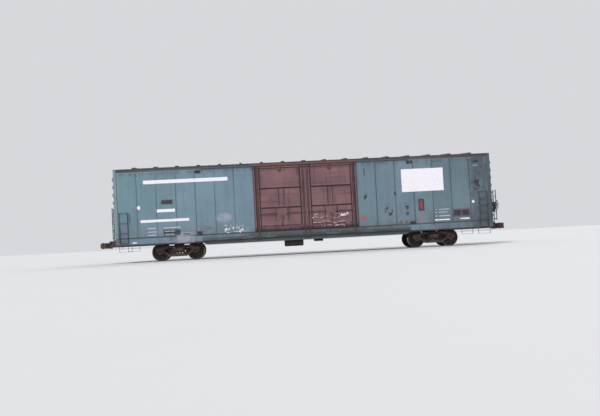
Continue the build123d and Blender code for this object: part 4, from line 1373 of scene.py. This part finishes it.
@dataclass
class SubAssembly:
    """A part of the dressing that makes its pieces in the materials of a palette."""

    palette: Palette

    def build(self) -> None:
        """Make all the pieces; each sub-assembly has its own."""
        raise NotImplementedError

    def finish(
        self, work: Workpiece, name: str, finish: str, slot: str = "", body: str = "carbody"
    ) -> None:
        """Turn a workpiece into a piece that rides on a body.

        Args:
            work: The workpiece, which ends here.
            name: The piece's name.
            finish: The name of its material.
            slot: The record's material slot, where its name differs.
            body: The CAD body that carries it.
        """
        place_piece(name, work.mesh_data(name, self.palette[finish]), slot or finish, body)

    def place(
        self, form: Repeated, name: str, spots: Spots, finish: str, slot: str = "", body: str = "carbody"
    ) -> bpy.types.Object:
        """Put a small form at every spot.

        Args:
            form: The form that repeats.
            name: The piece's name.
            spots: Place and direction of each.
            finish: The name of its material.
            slot: The record's material slot, where its name differs.
            body: The CAD body that carries it.

        Returns:
            The piece, all the forms in one mesh.
        """
        mesh = form.recipe().run(name, spots, self.palette[finish])
        return place_piece(name, mesh, slot or finish, body)


@dataclass
class CoilSprings(SubAssembly):
    """The coil springs of a truck, in place of its plain spring solids."""

    seat: float = 0.3
    coil: Coil = Coil(radius=0.044, wire=0.011, turns=5.5, height=0.17)
    spacing: Triple = (-0.15, 0.0, 0.15)
    rows: Pair = (-0.062, 0.062)

    def build(self) -> None:
        """Make the springs of both trucks."""
        across = [side * JOURNAL_Y + dy for side in (-1, 1) for dy in self.rows]
        for end in End:
            along = [end.value * TRUCK_X + dx for dx in self.spacing]
            spots = grid(along, across, (self.seat + self.coil.wire,), UP)
            name = "coil_springs_" + end.letter
            piece = self.place(self.coil, name, spots, "spring_steel", body="truck_" + end.letter)
            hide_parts("spring_nests_" + end.letter)


@dataclass
class WheelDetail(SubAssembly):
    """Cap bolts and their locking plates on the ends of the axles."""

    cap_y: float = -1.125
    circle: float = 0.048
    bolt: Fastener = Fastener(0.013, 0.009, 0.019)

    def build(self) -> None:
        """Make the bolts of all four wheelsets."""
        axles = (end.value * TRUCK_X + dx for end in End for dx in (-HALF_WHEELBASE, HALF_WHEELBASE))
        for number, x in enumerate(axles, start=1):
            spots = mirrored(ring((x, self.cap_y, AXLE_Z), self.circle, 3, NEAR, 90.0))
            name, body = "cap_bolts_%d" % number, "wheelset_%d" % number
            self.place(self.bolt, name, spots, "cast_dark", body=body)


@dataclass
class DoorHardware(SubAssembly):
    """Seals round the leaves, hangers under the upper track, bolts and gussets of the tracks."""

    edge: float = 2.438
    foot: float = 1.215
    head: float = 4.31
    lip: float = 0.009
    hanger_x: Pair = (-1.25, 1.2)
    hanger_blocks: tuple[tuple[float, Pair, Pair, float], ...] = (
        (0.07, (-1.584, -1.566), (4.13, 4.3), 0.006),
        (0.045, (-1.6, -1.584), (4.15, 4.41), 0.006),
        (0.012, (-1.606, -1.6), (4.16, 4.38), 0.003),
    )
    roller_z: float = 4.4
    roller_y: Triple = (-1.588, -1.612, -1.618)
    roller_radius: float = 0.03
    pin_radius: float = 0.012
    bearing_x: tuple[float, ...] = (-2.375, -0.11, 0.11, 2.375)
    bearing_z: tuple[float, ...] = (1.34, 2.045, 2.905, 3.365, 4.18)
    bearing_face: float = -1.592
    ear: float = 0.028
    gear_x: Pair = (-1.215, 1.215)
    gear_z: float = 1.88
    gear_face: float = -1.608
    gear_circle: float = 0.075
    case_half: float = 0.255
    case_z: tuple[float, ...] = (1.5, 1.72, 1.94, 2.16, 2.33)
    case_face: float = -1.566
    track_steps: int = 8
    track_step: float = 0.6
    track_face: float = -1.61
    track_bolt_z: float = 0.945
    gusset: tuple[Pair, ...] = ((-1.54, 0.84), (-1.54, 0.905), (-1.605, 0.905), (-1.56, 0.84))
    gusset_thick: float = 0.01
    bolt: Fastener = Fastener(0.013, 0.009, 0.02)

    def build(self) -> None:
        """Make the hardware of both sides."""
        self.seals()
        self.hangers()
        self.bolts()
        self.gussets()

    def seals(self) -> None:
        """A rubber lip round the opening and between the two leaves."""
        work = Workpiece()
        upright = (self.foot, self.head)
        lines = [((-self.edge, z), (self.edge, z)) for z in upright]
        lines += [((x, self.foot), (x, self.head)) for x in (-self.edge, self.edge)]
        for line in lines:
            work.tube([(x, -SIDE_FACE - 0.004, z) for x, z in line], self.lip, 8)
        work.tube([(0, -LEAF_FACE - 0.006, z) for z in upright], self.lip, 8)
        work.repeat(ACROSS)
        self.finish(work, "door_seals", "rubber_seal", "door_brown")

    def hangers(self) -> None:
        """The bracket and roller that carry each leaf from the upper track."""
        work = Workpiece()
        inner, face, tip = self.roller_y
        for x in self.hanger_x:
            for half, y, z, bevel in self.hanger_blocks:
                work.block((x - half, x + half), y, z, bevel)
            work.rod((x, face, self.roller_z), (x, inner, self.roller_z), self.roller_radius, 18)
            work.rod((x, tip, self.roller_z), (x, face, self.roller_z), self.pin_radius, 8)
        work.repeat(ACROSS)
        self.finish(work, "door_hangers", "lock_steel")

    def bolts(self) -> None:
        """Bolts on the lock pipe bearings, the gear cases and the lower track."""
        ears = [x + dx for x in self.bearing_x for dx in (-self.ear, self.ear)]
        spots = grid(ears, (self.bearing_face,), self.bearing_z, NEAR)
        for gear in self.gear_x:
            spots += ring((gear, self.gear_face, self.gear_z), self.gear_circle, 6, NEAR)
            edges = (gear - self.case_half, gear + self.case_half)
            spots += grid(edges, (self.case_face,), self.case_z, NEAR)
        along = [step * self.track_step for step in range(-self.track_steps, self.track_steps + 1)]
        spots += grid(along, (self.track_face,), (self.track_bolt_z,), NEAR)
        self.place(self.bolt, "door_bolts", mirrored(spots), "lock_steel")

    def gussets(self) -> None:
        """Brackets that hold the lower track off the sill."""
        work = Workpiece()
        for step in range(-self.track_steps, self.track_steps):
            start = (step + 0.5) * self.track_step - self.gusset_thick / 2
            work.plate([(start, y, z) for y, z in self.gusset], (self.gusset_thick, 0, 0))
        work.repeat(ACROSS)
        self.finish(work, "track_gussets", "track_paint", "lock_steel")


@dataclass
class BodyRivets(SubAssembly):
    """Rivets along the corner posts and the side plates."""

    face: float = 1.548
    post_x: float = 9.262
    pitch: float = 0.105
    foot: float = 0.08
    plate_z: float = 4.52
    plate_pitch: float = 0.17
    plate_steps: int = 53
    rivet: Fastener = Fastener(0.011, 0.006)

    def build(self) -> None:
        """Make all the rivets of the body."""
        rows = int((EAVE - SILL_TOP - 0.1) / self.pitch)
        rises = [SILL_TOP + self.foot + step * self.pitch for step in range(rows)]
        spots = grid((-self.post_x, self.post_x), (-self.face,), rises, NEAR)
        along = [step * self.plate_pitch for step in range(-self.plate_steps, self.plate_steps + 1)]
        spots += grid(along, (-self.face,), (self.plate_z,), NEAR)
        self.place(self.rivet, "body_rivets", mirrored(spots), "end_paint", "body_green")


@dataclass
class SheetRivets(SubAssembly):
    """Rivets down the sheet joints of the sides and along the seam caps of the roof."""

    face: float = 1.546
    pitch: float = 0.125
    foot: float = 0.06
    run: float = 3.1
    joints: int = 6
    cap_pitch: float = 1.043
    caps: int = 8
    cap_off: float = 0.084
    cap_start: float = 0.12
    cap_step: float = 0.165
    cap_rows: int = 9
    ridge: float = 4.715
    slope: float = 0.0995
    rivet: Fastener = Fastener(0.009, 0.005)

    def build(self) -> None:
        """Make the rivets of the sides and of the roof."""
        rows = int(self.run / self.pitch)
        rises = [SILL_TOP + self.foot + step * self.pitch for step in range(rows)]
        for name, sign in (("left", -1), ("right", 1)):
            along = [sign * (POST_OUTER + PANEL_PITCH * joint) for joint in range(1, self.joints + 1)]
            spots = turned(grid(along, (-self.face,), rises, NEAR))
            finish = "side_%s_paint" % name
            self.place(self.rivet, "lap_rivets_" + name, spots, finish, "body_green")
        spots = [
            ((cap * self.cap_pitch + off, -y, self.ridge - self.slope * y), (0, -self.slope, 1))
            for cap in range(-self.caps, self.caps + 1)
            for off in (-self.cap_off, self.cap_off)
            for y in (self.cap_start + self.cap_step * step for step in range(self.cap_rows))
        ]
        self.place(self.rivet, "roof_rivets", mirrored(spots), "roof_metal")


@dataclass
class EndFittings(SubAssembly):
    """Grab irons, a blank board, gratings and the small brake gear of the ends."""

    crest: float = END_FACE + 0.088
    stand_off: float = 0.15
    grab_y: Pair = (0.22, 0.78)
    grab_z: Pair = (1.63, 2.77)
    iron: float = 0.0095
    board_y: Pair = (-0.18, 0.18)
    board_z: Pair = (2.06, 2.34)
    board_thick: float = 0.01
    rim: float = 0.014
    rim_thick: float = 0.006
    screw_in: float = 0.03
    grating_off: float = 0.11
    grating_z: float = 1.155
    first_bar: float = -0.98
    bar_step: float = 0.035
    bar_count: int = 57
    valve_y: float = 0.93
    valve_z: float = 1.63
    brake_y: float = -0.96
    bar: Crossbar = Crossbar(0.212, 0.006, 0.012)
    bolt: Fastener = Fastener(0.012, 0.008, 0.018)
    screw: Fastener = Fastener(0.006, 0.004)

    def build(self) -> None:
        """Make the fittings of both ends."""
        self.grab_irons()
        self.board()
        self.gratings()
        self.retainer()
        self.hand_brake()

    def grab_irons(self) -> None:
        """Round irons on pads in the valleys of the pressed end."""
        work = Workpiece()
        low, high = self.grab_y
        out = END_FACE + self.stand_off
        for z in self.grab_z:
            corners = ((END_FACE, low, z), (out, low, z), (out, high, z), (END_FACE, high, z))
            work.tube(bent(corners, 0.03), self.iron)
            for y in self.grab_y:
                work.block((END_FACE, END_FACE + 0.009), (y - 0.04, y + 0.04), (z - 0.022, z + 0.022), 0.003)
        work.repeat(TURN)
        self.finish(work, "end_grab_irons", "ladder_paint", "body_green")

    def board(self) -> None:
        """A blank board in a rim on the crest of a rib, and its screws."""
        work = Workpiece()
        front = self.crest + self.board_thick
        top = front + self.rim_thick
        work.block((self.crest, front), self.board_y, self.board_z, 0.002)
        work.border(self.board_y, self.board_z, (front, top), self.rim, 0.002, on_end=True)
        work.repeat(TURN)
        self.finish(work, "end_boards", "blank_plate", "board_brown")
        (left, right), (low, high) = self.board_y, self.board_z
        across = (left + self.screw_in, right - self.screw_in)
        rises = (low + self.screw_in, high - self.screw_in)
        spots = grid((top,), across, rises, (1, 0, 0))
        self.place(self.screw, "end_board_screws", turned(spots), "dark_metal")

    def gratings(self) -> None:
        """The cross bars of the two crossover platforms."""
        middle = END_FACE + self.grating_off
        across = [self.first_bar + self.bar_step * step for step in range(self.bar_count)]
        spots = grid((-middle, middle), across, (self.grating_z,), UP)
        self.place(self.bar, "platform_bars", spots, "dark_metal")

    def retainer(self) -> None:
        """The pressure retaining valve and its pipe on the hand brake end."""
        work = Workpiece()
        y, z = self.valve_y, self.valve_z
        x = END_FACE + 0.062
        work.block((END_FACE, x), (y - 0.03, y + 0.03), (z - 0.022, z + 0.022), 0.004)
        work.rod((x, y, z - 0.06), (x, y, z + 0.05), 0.032, 18)
        work.rod((x, y, z + 0.05), (x, y, z + 0.075), 0.024, 18, 0.012)
        work.rod((x + 0.03, y, z - 0.02), (x + 0.07, y + 0.02, z - 0.05), 0.008, 8)
        clear, beside = END_FACE + 0.11, y + 0.1
        down = ((x, y, z - 0.06), (x, y, z - 0.1), (clear, y, z - 0.13))
        foot = ((clear, beside, 1.06), (clear - 0.1, beside, 1.0))
        work.tube(bent((*down, *foot), 0.04), 0.009)
        self.finish(work, "retaining_valve", "dark_metal")

    def hand_brake(self) -> None:
        """Cover bolts, release lever and hub nut of the hand brake."""
        y = self.brake_y
        spots = grid((9.675,), (y - 0.055, y + 0.055), (1.845, 1.9, 2.0, 2.05), (1, 0, 0))
        for way in (-1, 1):
            spots += grid((9.36,), (y + way * 0.06,), (1.63, 2.01), (0, way, 0))
        self.place(self.bolt, "hand_brake_bolts", spots, "cast_dark", "dark_metal")
        work = Workpiece()
        lever = ((9.56, y + 0.085, 1.9), (9.56, y + 0.125, 1.9), (9.6, y + 0.14, 2.08))
        work.tube(bent(lever, 0.02), 0.008)
        work.rod((9.6, y + 0.14, 2.07), (9.602, y + 0.141, 2.1), 0.014, 10, 0.01)
        work.rod((9.768, y, 1.95), (9.782, y, 1.95), 0.026, 6)
        work.rod((9.782, y, 1.95), (9.79, y, 1.95), 0.012, 10)
        self.finish(work, "hand_brake_lever", "dark_metal")


@dataclass
class BoardRims(SubAssembly):
    """Rims and screws round the blank boards and stops of the sides."""

    boards: tuple[Area, ...] = (
        (-5.38, -5.15, 1.2, 1.37),
        (5.14, 5.38, 1.2, 1.33),
        (5.6, 5.87, 1.855, 2.405),
        (-5.38, -5.13, 4.225, 4.355),
        (5.1, 5.38, 4.225, 4.355),
    )
    face: float = -1.564
    rim: float = 0.013
    rim_thick: float = 0.005
    screw_in: float = 0.03
    screw: Fastener = Fastener(0.006, 0.004)

    def build(self) -> None:
        """Make the rims and screws of both sides."""
        work = Workpiece()
        spots: Spots = []
        for left, right, low, high in self.boards:
            depth = (self.face - self.rim_thick, self.face)
            work.border((left, right), (low, high), depth, self.rim, 0.0015, on_end=False)
            along = (left + self.screw_in, right - self.screw_in)
            rises = (low + self.screw_in, high - self.screw_in)
            spots += grid(along, (self.face,), rises, NEAR)
        work.repeat(TURN)
        self.finish(work, "board_rims", "board_brown")
        self.place(self.screw, "board_screws", turned(spots), "dark_metal")


@dataclass
class LadderBolts(SubAssembly):
    """Bolts where the rungs of the side ladders meet their stiles."""

    ladders: tuple[tuple[Area, int], ...] = (
        ((-9.12, -8.72, 0.93, 2.46), 4),
        ((8.68, 9.08, 0.88, 2.69), 6),
    )
    face: float = -1.604
    bolt: Fastener = Fastener(0.01, 0.006, 0.014)

    def build(self) -> None:
        """Make the bolts of both sides."""
        spots: Spots = []
        for (left, right, low, high), rungs in self.ladders:
            gap = (high - low - 0.09) / (rungs - 1)
            rises = [low + 0.05 + rung * gap for rung in range(rungs)]
            spots += grid((left, right), (self.face,), rises, NEAR)
        self.place(self.bolt, "ladder_bolts", turned(spots), "ladder_paint", "body_green")


@dataclass
class BrakePipes(SubAssembly):
    """Pipes between the valve, the cylinder and the reservoir, and the cylinder's flange bolts."""

    radius: float = 0.014
    bend: float = 0.07
    union: float = 0.035
    paths: tuple[tuple[Triple, ...], ...] = (
        ((-0.38, 0.74, 0.86), (0.3, 0.74, 0.86), (0.42, 0.7, 0.722), (0.5, 0.7, 0.722)),
        ((-0.56, 0.62, 0.78), (-0.56, 0.5, 0.705), (-0.56, -0.5, 0.705), (-0.56, -0.6, 0.705)),
        ((-0.44, 0.62, 0.78), (-0.44, 0.5, 0.705), (-0.44, -0.5, 0.705), (-0.44, -0.6, 0.705)),
        ((0.62, 0.4, 0.85), (0.62, 0.56, 0.87), (-0.1, 0.56, 0.87), (-0.38, 0.66, 0.87)),
    )
    cylinder: Triple = (0.5, 0.7, 0.722)
    circle: float = 0.112
    bolt: Fastener = Fastener(0.01, 0.008, 0.015)

    def build(self) -> None:
        """Make the pipes and bolts."""
        work = Workpiece()
        for path in self.paths:
            work.tube(bent(path, self.bend), self.radius)
            for end, ahead in (path[:2], path[:-3:-1]):
                start = Vector(end)
                stop = start + (Vector(ahead) - start).normalized() * self.union
                work.rod(start, stop, self.radius * 1.7, 6)
        self.finish(work, "brake_pipes", "dark_metal")
        spots = ring(self.cylinder, self.circle, 8, (-1, 0, 0), 22.5)
        self.place(self.bolt, "cylinder_bolts", spots, "cast_dark", "dark_metal")


@dataclass
class TruckFittings(SubAssembly):
    """Friction wedges, bolster end ribs and the brake bottom rod of each truck."""

    column: Pair = (0.216, 0.239)
    wedge_y: Pair = (0.985, 1.06)
    wedge_z: Area = (0.48, 0.51, 0.66, 0.62)
    rib_x: Triple = (-0.14, 0.0, 0.14)
    rib_y: Pair = (1.143, 1.155)
    rib_z: Pair = (0.485, 0.625)
    rod_x: float = 0.34
    rod_z: float = 0.335
    rib_half: float = 0.009
    rod_radius: float = 0.014
    bolt_x: float = 0.272
    bolt_y: float = -1.073
    bolt_z: Pair = (0.4, 0.6)
    bolt: Fastener = Fastener(0.012, 0.008, 0.017)

    def build(self) -> None:
        """Make the fittings of both trucks."""
        for end in End:
            body = "truck_" + end.letter
            middle = end.value * TRUCK_X
            work = self.castings()
            work.move(Matrix.Translation((middle, 0, 0)))
            self.finish(work, "truck_castings_" + end.letter, "cast_dark", body=body)
            along = (middle - self.bolt_x, middle + self.bolt_x)
            spots = mirrored(grid(along, (self.bolt_y,), self.bolt_z, NEAR))
            self.place(self.bolt, "column_bolts_" + end.letter, spots, "cast_dark", body=body)

    def castings(self) -> Workpiece:
        """Wedges in the side frame windows, ribs on the bolster ends, and the bottom rod.

        Returns:
            The workpiece, still at the middle of the car.
        """
        work = Workpiece()
        near, far = self.column
        inner, outer = self.wedge_y
        for side in (-1, 1):
            for sign in (-1, 1):
                corners = zip((near, far, far, near), self.wedge_z)
                outline = [(sign * x, side * inner, z) for x, z in corners]
                work.plate(outline, (0, side * (outer - inner), 0))
            for x in self.rib_x:
                along = (x - self.rib_half, x + self.rib_half)
                work.block(along, [side * y for y in self.rib_y], self.rib_z, 0.003)
        ends = [(x, 0, self.rod_z) for x in (-self.rod_x, self.rod_x)]
        work.rod(*ends, self.rod_radius, 10)
        for sign in (-1, 1):
            work.block((sign * 0.3, sign * 0.37), (-0.028, 0.028), (0.31, 0.36), 0.006)
        return work


@dataclass
class CouplerFittings(SubAssembly):
    """The knuckle pin's head on each coupler and the bolts of each striker casting."""

    pin: Triple = (10.175, 0.118, 1.061)
    striker: float = 9.83
    bolt_y: Pair = (-0.238, 0.238)
    bolt_z: Triple = (0.8, 0.93, 1.06)
    bolt: Fastener = Fastener(0.014, 0.01, 0.02)

    def build(self) -> None:
        """Make the fittings of both couplers."""
        x, y, z = self.pin
        for end in End:
            work = Workpiece()
            work.rod((x, y, z - 0.004), (x, y, z + 0.012), 0.027, 20, 0.024)
            work.rod((x, y, z + 0.012), (x, y, z + 0.018), 0.016, 12, 0.012)
            if end is End.A:
                work.move(TURN)
            self.finish(work, "knuckle_pin_" + end.letter, "cast_rust", body="coupler_" + end.letter)
        spots = turned(grid((self.striker,), self.bolt_y, self.bolt_z, (1, 0, 0)))
        self.place(self.bolt, "striker_bolts", spots, "cast_dark", "dark_metal")


@dataclass
class Picture:
    """The floor, the lights and the camera of the photo's view."""

    lens: float = 48.0
    heading: float = 4.2
    pitch: float = 2.23
    roll: float = 3.01
    stand: Triple = (-3.2, -40.79, 0.732)
    floor_half: float = 400.0
    backdrop: Triple = (214, 216, 220)
    sky: Area = (0.93, 0.96, 1.0, 1.0)
    sky_strength: float = 0.62
    lights: tuple[tuple[str, float, float, Triple], ...] = (
        ("key_light", 2.3, 14.0, (46.0, 0.0, -32.0)),
        ("fill_light", 0.8, 30.0, (52.0, 0.0, 150.0)),
    )

    def build(self) -> None:
        """Set the view settings and make the stage."""
        bpy.context.scene.view_settings.view_transform = "Standard"
        self.world()
        self.floor()
        self.lamps()
        self.camera()

    def add(self, name: str, data: bpy.types.ID) -> bpy.types.Object:
        """Add an object to the scene.

        Args:
            name: Its name.
            data: Its mesh, lamp or camera.

        Returns:
            The object.
        """
        made = bpy.data.objects.new(name, data)
        bpy.context.scene.collection.objects.link(made)
        return made

    def world(self) -> None:
        """A pale even sky that the camera sees as the backdrop."""
        world = bpy.data.worlds.new("studio")
        bpy.context.scene.world = world
        world.use_nodes = True
        graph = Graph(world.node_tree)
        graph.tree.nodes.clear()
        rays = graph.node("ShaderNodeLightPath")
        kinds = ("Is Camera Ray", "Is Glossy Ray", "Is Transmission Ray")
        seen = strongest(Term(graph, rays.outputs[kind]) for kind in kinds)
        sky = {"Color": self.sky, "Strength": self.sky_strength}
        light = graph.node("ShaderNodeBackground", inputs=sky)
        drop = graph.node("ShaderNodeBackground", inputs={"Color": paint(self.backdrop), "Strength": 1.0})
        both = graph.node("ShaderNodeMixShader", inputs={0: seen, 1: light.outputs[0], 2: drop.outputs[0]})
        graph.node("ShaderNodeOutputWorld", inputs={"Surface": both.outputs[0]})

    def floor(self) -> None:
        """A wide pale floor that keeps the car's shadow."""
        shade = Shade("studio_floor", (205, 205, 206))
        shade.lay(shade.noise(0.6, 3.0) * 0.2, (196, 196, 198))
        shade.surface(0.9)
        half = self.floor_half
        corners = [(-half, -half, 0), (half, -half, 0), (half, half, 0), (-half, half, 0)]
        data = bpy.data.meshes.new("studio_floor")
        data.from_pydata(corners, [], [(0, 1, 2, 3)])
        data.materials.append(shade.material)
        self.add("studio_floor", data)

    def lamps(self) -> None:
        """A soft key from the front left and a weaker one from behind."""
        for name, strength, spread, turn in self.lights:
            lamp = bpy.data.lights.new(name, "SUN")
            lamp.energy = strength
            lamp.angle = math.radians(spread)
            self.add(name, lamp).rotation_euler = [math.radians(angle) for angle in turn]

    def camera(self) -> None:
        """Stand the camera where the photo was taken from."""
        heading, pitch, roll = (math.radians(angle) for angle in (self.heading, self.pitch, self.roll))
        flat = math.cos(pitch)
        ahead = Vector((math.sin(heading) * flat, math.cos(heading) * flat, math.sin(pitch)))
        level = Vector((math.cos(heading), -math.sin(heading), 0.0))
        upright = level.cross(ahead)
        right = math.cos(roll) * level - math.sin(roll) * upright
        up = math.sin(roll) * level + math.cos(roll) * upright
        view = bpy.data.cameras.new("photo_view")
        view.lens = self.lens
        view.sensor_width = 36.0
        view.clip_end = 2000.0
        camera = self.add("photo_view", view)
        turn = Matrix((right, up, -ahead)).transposed().to_4x4()
        camera.matrix_world = Matrix.Translation(self.stand) @ turn
        bpy.context.scene.camera = camera


SUB_ASSEMBLIES = (
    CoilSprings,
    WheelDetail,
    DoorHardware,
    BodyRivets,
    SheetRivets,
    EndFittings,
    BoardRims,
    LadderBolts,
    BrakePipes,
    TruckFittings,
    CouplerFittings,
)


def main() -> None:
    """Dress the frame, add every sub-assembly and set up the picture."""
    logging.basicConfig(level=logging.INFO, format="%(message)s")
    palette = Palette()
    palette.fill()
    palette.dress_nodes()
    for assembly in SUB_ASSEMBLIES:
        LOG.info("building %s", assembly.__name__)
        assembly(palette).build()
    Picture().build()


if __name__ == "__main__":
    main()
